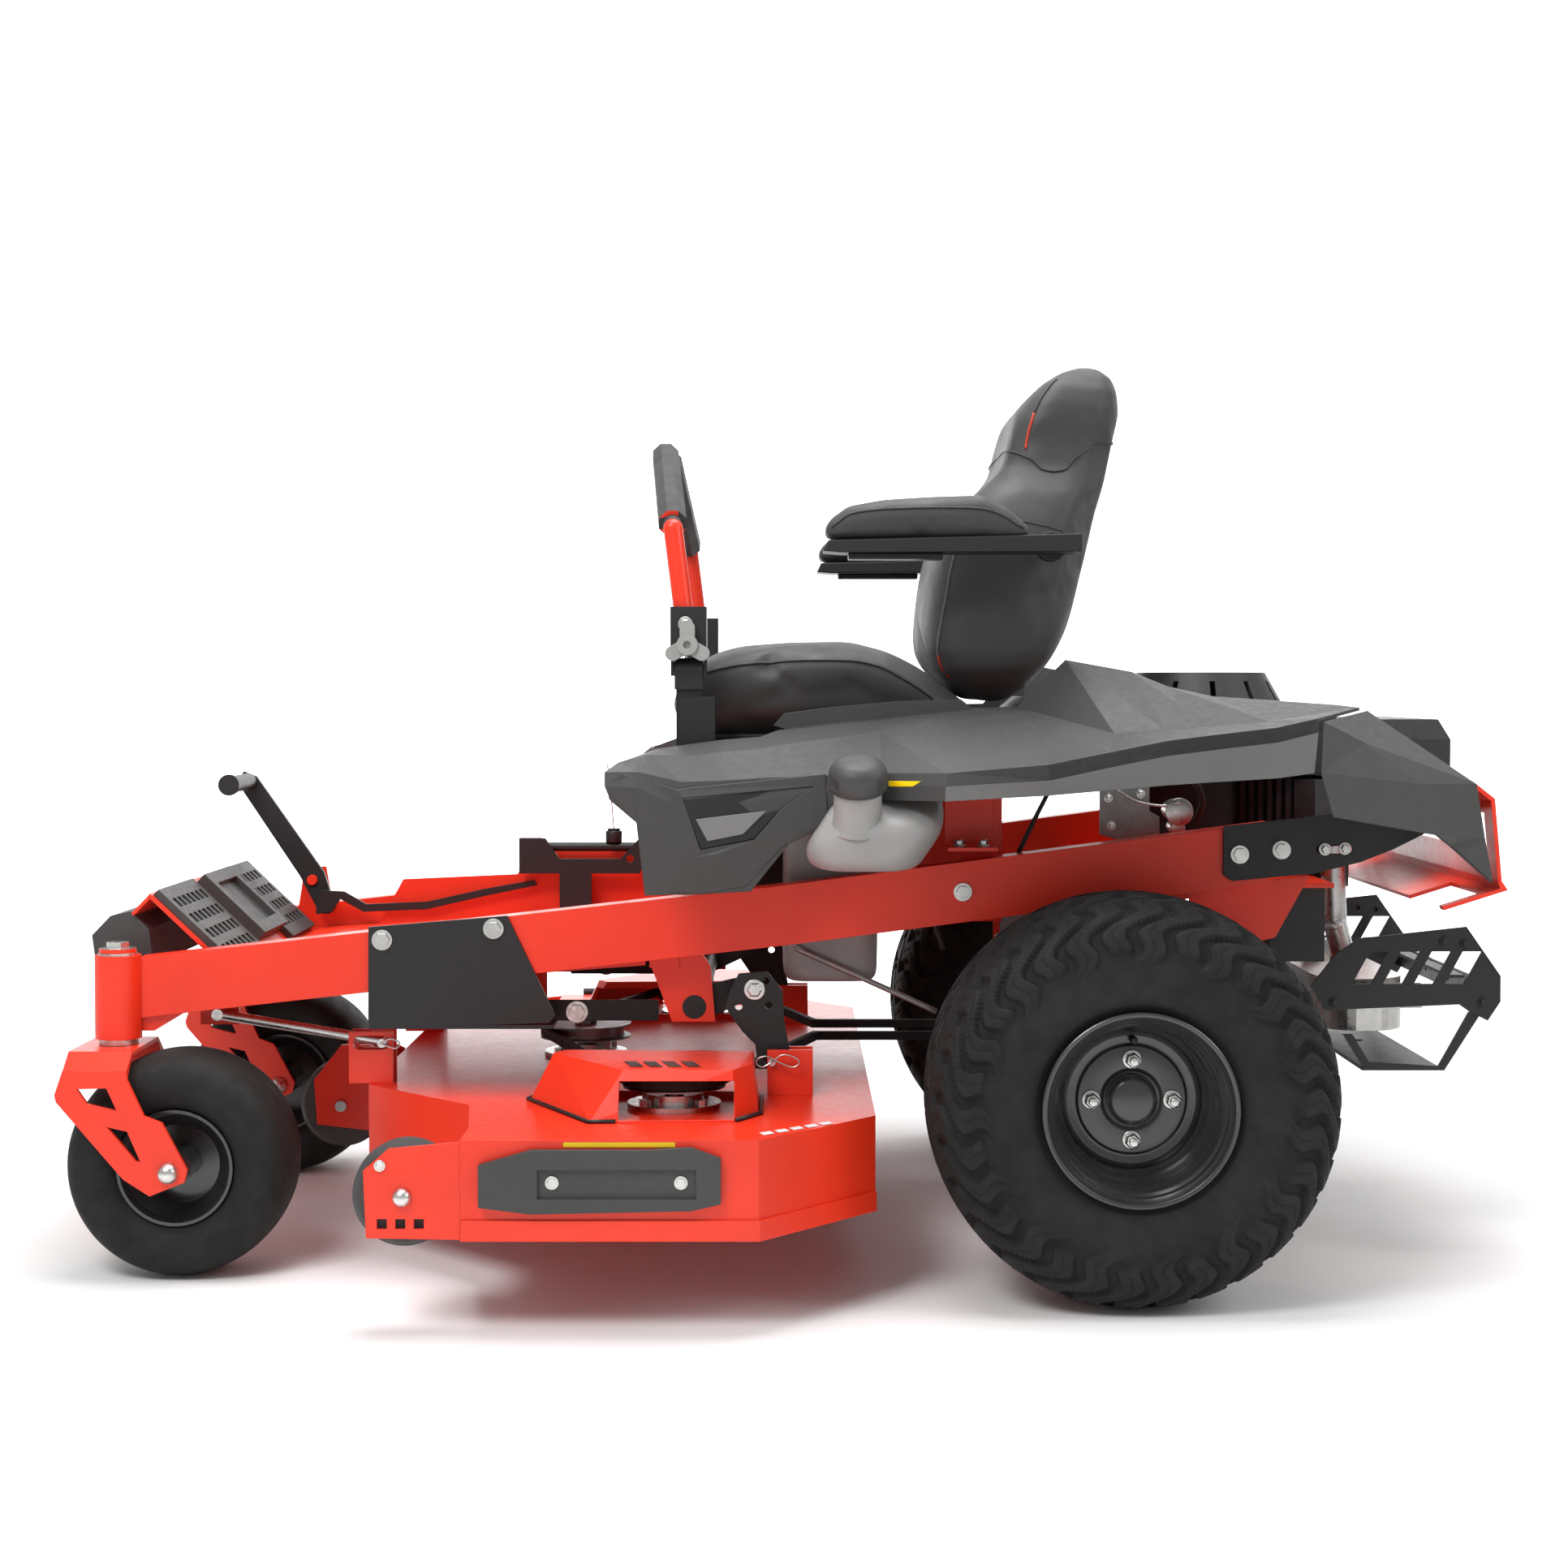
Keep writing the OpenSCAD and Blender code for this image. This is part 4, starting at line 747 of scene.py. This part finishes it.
# cushion: x, bottom, top, half width
CUSHION = [(-156, 738, 756, 204), (-150, 724, 774, 220), (-136, 714, 792, 232), (-100, 711, 807, 238),
           (-57, 711, 816, 240), (10, 711, 821, 240), (95, 711, 822, 240), (140, 711, 811, 239),
           (185, 711, 786, 236), (220, 711, 762, 232), (248, 711, 742, 226), (268, 712, 728, 212)]


def cushion_form():
    rings = []
    n = 72
    for x in np.linspace(-156, 268, 48):
        lo, hi, w = interp(x, CUSHION)
        ring = []
        for k in range(n):
            a, b = sup(2 * math.pi * k / n, 5.0)
            y = a * w
            z = (lo + hi) / 2 + b * (hi - lo) / 2
            if b > 0 and -120 < x < 200:
                crown = 9 * math.cos(math.pi * min(1, abs(y) / 175))
                z += -0.45 * crown * b if abs(y) < 175 else 4 * b
            ring.append(D(x, y, z))
        rings.append(ring)
    return loft(rings)


# backrest: front x, front z, rear x, rear z, half width
BACK = [(262, 754, 306, 750, 168), (232, 774, 340, 774, 212), (202, 797, 360, 797, 234),
        (188, 822, 371, 814, 240), (188, 845, 382, 845, 242), (194, 885, 392, 885, 242),
        (200, 920, 400, 918, 242), (210, 960, 410, 958, 240), (232, 1000, 420, 1000, 232),
        (266, 1034, 430, 1036, 218), (294, 1060, 438, 1062, 200), (309, 1080, 443, 1084, 188),
        (316, 1112, 449, 1112, 183), (325, 1145, 457, 1145, 181), (337, 1172, 463, 1170, 175),
        (355, 1198, 466, 1192, 163), (380, 1217, 462, 1211, 141), (408, 1228, 444, 1226, 108)]


def stack_form(table, n=80, steps=70, e=4.6):
    rings = []
    for t in np.linspace(0, len(table) - 1, steps):
        i = min(len(table) - 2, int(t))
        q = t - i
        fx, fz, rx, rz, w = [table[i][k] * (1 - q) + table[i + 1][k] * q for k in range(5)]
        ring = []
        for k in range(n):
            a, b = sup(2 * math.pi * k / n, e)
            y = b * w
            u = (a + 1) / 2
            dish = 10 * math.cos(math.pi * abs(y) / (2 * w)) if a < 0 else 0
            ring.append(D(fx + (rx - fx) * u + dish * (1 - u), y, fz + (rz - fz) * u))
        rings.append(ring)
    return loft(rings)


def padded_piece(name, form, body, hides, material="seat_vinyl", cap=0.012, voxel=0.006,
                 slot="seat_vinyl"):
    v, f = form
    o = piece(name, v, f, material, body, slot=slot, hides=hides)
    inflate(o, cap, voxel)
    return o


def onto(tree, path, lift=0.0):
    """Each point of a path moved to the nearest place on a surface, lifted off it."""
    out = []
    for p in path:
        at, normal, _, _ = tree.find_nearest(p)
        out.append(at + normal * lift)
    return out


def piping(name, o, path, r, material, body, closed=False, lift=None):
    t = tree_of(o)
    pts = onto(t, smooth_path(path, 10, closed), r * 0.35 if lift is None else lift)
    v, f = tube(pts, r, 8, closed)
    return piece(name, v, f, material, body, slot="seat_vinyl")


cushion = padded_piece("seat_cushion_pad", cushion_form(), "seat", ["seat_cushion"])
back = padded_piece("seat_back_pad", stack_form(BACK), "seat", ["seat_back"])
for s, sign in (("left", -1), ("right", 1)):
    piping("cushion_piping_" + s, cushion, [D(x, sign * 236, z) for x, z in (
        (-154, 762), (-142, 786), (-96, 801), (-20, 810), (60, 812), (120, 806), (160, 788), (200, 763),
        (248, 734))],
        0.0019, "vinyl_dark", "seat")
    for name, material, part in (("back_piping_", "vinyl_edge",
                                  ((222, 790, 196), (200, 822, 224), (204, 862, 232), (212, 905, 234),
                                   (222, 948, 232), (240, 984, 226))),
                                 ("back_red_", "piping_red",
                                  ((226, 784, 190), (214, 800, 206), (206, 814, 218))),
                                 ("head_red_", "piping_red",
                                  ((330, 1104, 178), (334, 1128, 178), (341, 1154, 174))),
                                 ("head_piping_", "vinyl_dark",
                                  ((341, 1154, 174), (354, 1180, 166), (376, 1206, 150)))):
        piping(name + s, back, [D(x, sign * y, z) for x, z, y in part], 0.0017, material, "seat")
    piping("back_seam_" + s, back, [D(x, sign * 262, z) for x, z in (
        (252, 1040), (300, 1020), (350, 1004), (400, 990), (418, 982))], 0.0013, "vinyl_dark", "seat",
        lift=-0.0002)
head_loop = [D(376, 215 * math.cos(a), 1104 - 16 * math.cos(2 * a) + 6 * math.sin(a))
             + Vector((0.09 * math.sin(a), 0, 0)) for a in np.linspace(0, 2 * math.pi, 20, endpoint=False)]
piping("head_seam", back, head_loop, 0.0016, "vinyl_dark", "seat", closed=True)

# seat shell under the cushion and behind the back, in dark plastic
v, f = merged([plate([(-120, 700.4), (-120, 709), (250, 709), (300, 716), (352, 760), (360, 752),
                      (310, 704), (258, 700.4)], -200, 400)])
bevelled(piece("seat_shell", v, f, "vinyl_dark", "seat", slot="seat_vinyl", smooth=False), 0.003)


def armrest_form(sign):
    table = [(54, 972, 984, 30), (62, 969, 996, 37), (85, 969, 1012, 41), (130, 969, 1020, 42),
             (200, 969, 1024, 42), (262, 969, 1026, 42), (296, 969, 1008, 40), (322, 970, 986, 34)]
    rings = []
    n = 48
    for x in np.linspace(54, 322, 36):
        lo, hi, w = interp(x, table)
        ring = []
        for k in range(n):
            a, b = sup(2 * math.pi * k / n, 4.0)
            ring.append(D(x, sign * 302 + a * w * (1 - 0.12 * max(0, b)),
                          (lo + hi) / 2 + b * (hi - lo) / 2))
        rings.append(ring)
    return loft(rings)


for s, sign in (("left", -1), ("right", 1)):
    pad = padded_piece("arm_pad_" + s, armrest_form(sign), "armrest_" + s, ["armrest_" + s], cap=0.005,
                       voxel=0.004)
    piping("arm_seam_" + s, pad, [D(x, sign * (302 + 46), z) for x, z in (
        (58, 984), (84, 1002), (120, 1008), (200, 1010), (270, 1006), (318, 984))], 0.0016,
        "vinyl_dark", "armrest_" + s)
    lo, hi = sorted((sign * 264, sign * 340))
    v, f = merged([plate([(51, 952), (58, 966.5), (392, 975), (392, 951), (74, 950)], lo, hi - lo),
                   disc(358, sign * 254, 961, 20, sign * 30, 36)])
    bevelled(piece("arm_plate_" + s, v, f, "black_paint", "armrest_" + s, smooth=False), 0.002)
    v, f = merged([plate([(85, 942), (85, 950), (210, 950), (210, 942)], sign * 302 - 22, 44)])
    bevelled(piece("arm_slide_" + s, v, f, "black_paint", "armrest_" + s, smooth=False), 0.0015)
    lo, hi = sorted((sign * 232, sign * 276))
    v, f = disc(358, lo, 961, 9, hi - lo)
    bevelled(piece("arm_pin_" + s, v, f, "zinc", "seat"), 0.001)

# ---------- side panels of the bodywork, each with its recess ----------


def faceted(name, points, faces, y_of, thick, material, body):
    """A thin skin of flat facets: points are XZ with their own Y, faces index them."""
    n = len(points)
    verts = [D(x, y_of(y), z) for x, y, z in points] + [D(x, y_of(y - thick), z) for x, y, z in points]
    quads = [list(f) for f in faces] + [[n + i for i in f[::-1]] for f in faces]
    edges = {}
    for f in faces:
        for a, b in zip(f, f[1:] + f[:1]):
            edges[(a, b)] = 1
    for a, b in edges:
        if (b, a) not in edges:
            quads.append([a, n + a, n + b, b])
    return bevelled(piece(name, verts, quads, material, body, smooth=False), 0.0012, 2, 12)


PANEL = [(-226, 437, 652), (-224, 436, 630), (-170, 449, 594), (-174, 449, 513), (-104, 455, 510),
         (-48, 457, 520), (-3, 459, 570), (56, 462, 598), (-205, 444, 663), (-137, 456, 644),
         (53, 466, 664), (-146, 455, 597), (-127, 459, 554), (-138, 454, 512), (-85, 463, 562),
         (-128, 459, 632), (-106, 462, 567), (-38, 464, 580), (-3, 464, 620), (38, 465, 648)]
PANEL_FACES = [[0, 1, 11, 9], [0, 9, 8], [1, 2, 11], [2, 3, 13, 12, 11], [11, 12, 16, 15, 9],
               [12, 13, 4, 14], [12, 14, 17, 16], [14, 4, 5], [14, 5, 6, 17], [17, 6, 7, 18],
               [18, 7, 19], [19, 7, 10], [9, 15, 19, 10]]
for s, hand in (("left", -1), ("right", 1)):
    faceted("side_panel_" + s, PANEL, PANEL_FACES, lambda y, q=hand: q * y, 3.4, "grey_plastic", "chassis")
    floor_of = [(x, 460, z) for x, _, z in PANEL[15:20]]
    faceted("panel_recess_" + s, floor_of, [[0, 1, 2, 3, 4]], lambda y, q=hand: q * y, 2.6,
            "black_mark", "chassis")


# ---------- fuel tank and cap ----------


def rounded_ring(x0, x1, y0, y1, z, e=3.2, n=56):
    ring = []
    for k in range(n):
        a, b = sup(2 * math.pi * k / n, e)
        ring.append(D((x0 + x1) / 2 + a * (x1 - x0) / 2, (y0 + y1) / 2 + b * (y1 - y0) / 2, z))
    return ring


NECK = (92, -512, 640)
NECK_TILT = math.radians(20)


def neck_ring(h, n, radius):
    """A ring about the filler neck's tilted axis, h above its mouth; radius is given by the angle."""
    ring = []
    for k in range(n):
        w = 2 * math.pi * k / n
        x, y = radius(w) * math.cos(w), radius(w) * math.sin(w)
        ring.append(D(NECK[0] + x, NECK[1] + y * math.cos(NECK_TILT) - h * math.sin(NECK_TILT),
                      NECK[2] + y * math.sin(NECK_TILT) + h * math.cos(NECK_TILT)))
    return ring


def tank_form():
    upper = [(58, 150, -500, -362, 541), (42, 164, -512, -352, 543.5), (32, 174, -520, -348, 550),
             (28, 180, -525, -346, 560), (28, 190, -527, -345, 574), (36, 199, -528, -345, 588),
             (47, 203, -526, -345, 602), (54, 204, -500, -345, 618), (60, 203, -470, -346, 632),
             (66, 198, -448, -350, 641), (84, 186, -436, -362, 646)]
    lower = [(14, 112, -276, -202, 375), (4, 121, -281, -196, 378), (-1, 126, -283.5, -193.5, 386),
             (-2, 127, -284, -193, 402), (-2, 127, -284, -193, 570), (1, 124, -282, -195, 588),
             (14, 112, -276, -202, 597)]
    neck = [neck_ring(h, 48, lambda w, r=r: r) for r, h in (
        (37, -47), (33, -43), (31, -36), (30, -20), (30, 4), (28, 5), (26, 5.5), (25, -6))]
    bridge = [[D(x, y, z) for x, z in ((52, 548), (98, 548), (98, 588), (52, 588))]
              for y in (-380, -330, -290, -232)]
    return ([loft([rounded_ring(*q) for q in upper]), loft([rounded_ring(*q, e=5) for q in lower])],
            loft(neck), loft(bridge))


bodies_of_tank, neck_form, bridge_form = tank_form()
tank = piece("tank_shell", *merged(bodies_of_tank + [bridge_form]), "tank_plastic", "chassis",
             hides=["fuel_tank"])
sub = tank.modifiers.new("soft", "SUBSURF")
sub.levels = sub.render_levels = 1
bevelled(piece("tank_neck", *neck_form, "tank_plastic", "chassis"), 0.001)


def cap_radius(w, r, h):
    """The cap's radius at an angle: three finger notches, deepest low down on the skirt."""
    near = abs((w / (2 * math.pi) * 3 - 0.25) % 1 - 0.5)
    notch = (1 - step(near, 0.10, 0.15)) * (1 - step(h, 16, 26)) * step(h, 6, 9)
    return r - 5.5 * notch


def cap_form():
    return loft([neck_ring(h, 96, lambda w, r=r, h=h: cap_radius(w, r, h)) for r, h in (
        (28, 6), (34.5, 6.5), (36.5, 10), (37, 18), (37, 28), (35, 35), (30, 41), (22, 44.5),
        (12, 46), (4, 46.4))])


piece("filler_cap", *cap_form(), "cap_plastic", "fuel_cap", hides=["fuel_cap"])

# ---------- small hardware ----------


def hex_head(x, y, z, r, h, axis="y", hand=-1):
    """A washer, a hexagon and a chamfer on a face at the datum place, standing out along the axis."""
    out = []
    for sides, rings in ((28, ((1.4 * r, 0), (1.4 * r, 1.6), (1.32 * r, 2.0))),
                         (6, ((r, 2.0), (r, 0.8 * h), (0.8 * r, h)))):
        rows = []
        for rr, up in rings:
            row = []
            for k in range(sides):
                a, b = rr * math.cos(2 * math.pi * k / sides), rr * math.sin(2 * math.pi * k / sides)
                row.append({"y": D(x + a, y + hand * up, z + b), "x": D(x + hand * up, y + a, z + b),
                            "z": D(x + a, y + b, z + hand * up)}[axis])
            rows.append(row)
        out.append(loft(rows))
    return merged(out)


def bolts(name, places, r, h, body, material="zinc", axis="y", hand=-1):
    return bevelled(piece(name, *merged([hex_head(*q, r, h, axis, hand) for q in places]), material, body,
                          smooth=False), 0.0004, 2)


def line(name, places, r, material, body, sides=12, closed=False, steps=8):
    return piece(name, *tube(smooth_path([D(*q) for q in places], steps, closed), r, sides, closed),
                 material, body)


bolts("bracket_bolts", [(234, -300, 561.2), (266, -300, 561.2)], 6.5, 9, "chassis", axis="z", hand=1)
bolts("rail_plate_bolts", [(712, -345.6, 560), (738, -345.6, 561)], 6, 7, "chassis")
for s, hand in (("left", -1), ("right", 1)):
    bolts("lap_bolt_" + s, [(-131, hand * 306.2, 857)], 7, 6, "lap_bar_" + s, hand=hand)
    bolts("guard_bolts_" + s, [(748, hand * 251.2, 345), (950, hand * 251.2, 345), (925, hand * 251.2, 425),
                               (897, hand * 251.2, 428)], 5, 5, "chassis", "black_paint", hand=hand)
    bolts("hanger_nuts_" + s, [(-39, hand * 335.2, 373)], 10, 6, "drop_links", hand=hand)
    line("hanger_clip_" + s, [(-16, hand * 366, 281), (-2, hand * 368, 291), (14, hand * 369, 288),
                              (20, hand * 369, 281), (12, hand * 369, 275), (-4, hand * 368, 280),
                              (-22, hand * 368, 289), (-34, hand * 368, 286), (-36, hand * 368, 279),
                              (-28, hand * 367, 275), (-16, hand * 366, 281)],
                              0.0012, "zinc", "deck")
    line("strut_clip_" + s, [(-546, hand * 268, 291), (-532, hand * 270, 298), (-520, hand * 270, 292),
                             (-526, hand * 270, 285), (-546, hand * 268, 291)], 0.0011, "zinc", "front_links")
    bolts("deck_bracket_bolts_" + s, [(-480, hand * 672.3, 206)], 5, 5, "deck", hand=hand)


def bead(name, path, r, material, body):
    """A straight-sided run of round trim."""
    line(name, path, r, material, body, steps=1)


for s, hand in (("left", -1), ("right", 1)):
    bead("cover_seal_front_" + s, [(-324, hand * 363, 238.4), (-333, hand * 395, 238.4),
                                   (-241, hand * 563, 238.4), (-208, hand * 560, 238.4)],
         0.0027, "black_mark", "deck")
    bead("cover_seal_rear_" + s, [(-59, hand * 551, 238.4), (-29, hand * 501, 238.4),
                                  (-29, hand * 376, 238.4)],
         0.0027, "black_mark", "deck")

# reinforcing strip welded round the foot of the skirt on the left
strip = [(-384, -672.3), (-30, -672.3), (114, -506.6)]
out_strip = [(-384, -675.6), (-28.5, -675.6), (117, -508)]
verts = [D(x, y, z) for z in (115.5, 141) for x, y in strip + out_strip[::-1]]
faces = [list(range(6))[::-1], list(range(6, 12))] + [[i, (i + 1) % 6, 6 + (i + 1) % 6, 6 + i]
                                                      for i in range(6)]
bevelled(piece("skirt_strip", verts, faces, "red_paint", "deck", smooth=False), 0.0009)

# height pin's cup and wire, and the rods and hoses under the seat
bevelled(piece("height_cup", *merged([disc(-266, 249, 530, 13, 18, axis="z"),
                                      disc(-266, 249, 548, 10, 4, axis="z")]),
               "black_mark", "chassis"), 0.0012)
line("height_wire", [(-266, 249, 550), (-270, 249, 600), (-275, 250, 646), (-278, 251, 651)], 0.0011,
     "zinc", "chassis")
line("brake_rod", [(14, -291.5, 424), (110, -291.5, 381), (205, -291.5, 338)], 0.0040,
     "transaxle_casting", "chassis")
line("throttle_cable", [(372, -262, 678), (356, -296, 640), (334, -300, 596), (318, -301, 563),
                        (312, -292, 548)], 0.0032,
     "cable_black", "chassis")
line("brake_cable", [(150, -268, 560), (170, -291, 520), (196, -292, 470), (214, -291, 420)], 0.0030,
     "cable_black", "chassis")

# governor plate, carburettor and links on the engine's left
plate_at = -232
governor = plate([(430, 572), (430, 632), (446, 640), (498, 640), (498, 604), (512, 596), (512, 568),
                  (470, 560)], plate_at, 3)
bevelled(piece("governor_plate", *governor, "transaxle_casting", "chassis", smooth=False), 0.0007)
bolts("governor_bolts", [(442, plate_at - 0.1, 622), (486, plate_at - 0.1, 628),
                         (446, plate_at - 0.1, 584)], 4.5, 6,
      "chassis")
bevelled(piece("carburettor", *merged([disc(536, -246, 604, 15, 60), disc(536, -250, 604, 19, 5),
                                       disc(536, -238, 582, 10, 40)]),
               "muffler_metal", "chassis"), 0.001)
line("governor_link", [(452, -237, 634), (480, -240, 618), (512, -244, 612), (536, -251, 616)], 0.0017,
     "zinc", "chassis")
line("engine_hose", [(498, -240, 648), (520, -252, 655), (552, -250, 648), (570, -236, 622),
                     (566, -214, 590)], 0.0045,
     "cable_black", "chassis")

# ---------- marks on flat faces, plain shapes only ----------


def mark(name, node, outlines, material, body, lift=0.0004, toward=-1):
    """Thin flat shapes, outlines in XZ millimetres, laid on a CAD node's outer side."""
    t = tree_of(nodes[node])
    bm = bmesh.new()
    for outline in outlines:
        bm.faces.new([bm.verts.new(D(x, toward * 3000, z)) for x, z in outline])
    bmesh.ops.triangulate(bm, faces=bm.faces)
    for _ in range(3):
        bmesh.ops.subdivide_edges(bm, edges=bm.edges, cuts=1)
    bmesh.ops.triangulate(bm, faces=bm.faces)
    drop = []
    for v in bm.verts:
        at = t.ray_cast(v.co, Vector((0, -toward, 0)))[0]
        if at is None:
            drop.append(v)
        else:
            v.co = at + Vector((0, toward * lift, 0))
    bmesh.ops.delete(bm, geom=drop, context="VERTS")
    out = bmesh.ops.extrude_face_region(bm, geom=bm.faces[:])
    for v in out["geom"]:
        if isinstance(v, bmesh.types.BMVert):
            v.co.y += toward * lift
    bmesh.ops.recalc_face_normals(bm, faces=bm.faces)
    mesh = bpy.data.meshes.new(name)
    bm.to_mesh(mesh)
    bm.free()
    o = bpy.data.objects.new(name, mesh)
    scene.collection.objects.link(o)
    mesh.materials.append(M[material])
    settle(o, body)
    return o


def top_mark(name, node, outlines, material, body, lift=0.0004):
    """The same, on a face that looks up; outlines in XY millimetres."""
    t = tree_of(nodes[node])
    parts = []
    for outline in outlines:
        low = []
        for x, y in outline:
            at = t.ray_cast(D(x, y, 2000), Vector((0, 0, -1)))[0]
            low.append(at + Vector((0, 0, lift)))
        n = len(low)
        faces = [list(range(n))[::-1], [n + i for i in range(n)]]
        faces += [[i, (i + 1) % n, n + (i + 1) % n, n + i] for i in range(n)]
        parts.append((low + [q + Vector((0, 0, lift)) for q in low], faces))
    return piece(name, *merged(parts), material, body, smooth=False)


top_mark("cover_slashes", "belt_covers", [[(x, -505), (x + 16, -505), (x + 4, -462), (x - 12, -462)]
                                          for x in (-192, -168, -144, -120)], "black_mark", "deck")
top_mark("corner_bars", "deck_shell", [[(x, -640 + 0.9 * (x + 24)), (x + 13, -640 + 0.9 * (x + 37)),
                                        (x + 7, -626 + 0.9 * (x + 37)), (x - 6, -626 + 0.9 * (x + 24))]
                                       for x in (-24, -6, 12, 30, 48)], "white_mark", "deck")
mark("filler_mark", "fender_left", [[(131, 649), (160, 650), (170, 657), (131, 656)]], "yellow_mark",
     "chassis")
bevelled(piece("panel_plaque", *plate([(-112, 606), (-97, 578), (-52, 587), (-22, 617)], -462.4, 1.6),
               "grey_mark", "chassis", smooth=False), 0.0006)
mark("deck_yellow_mark", "deck_shell", [[(-262, 228), (-129, 228), (-129, 234), (-262, 234)]],
     "yellow_mark", "deck")
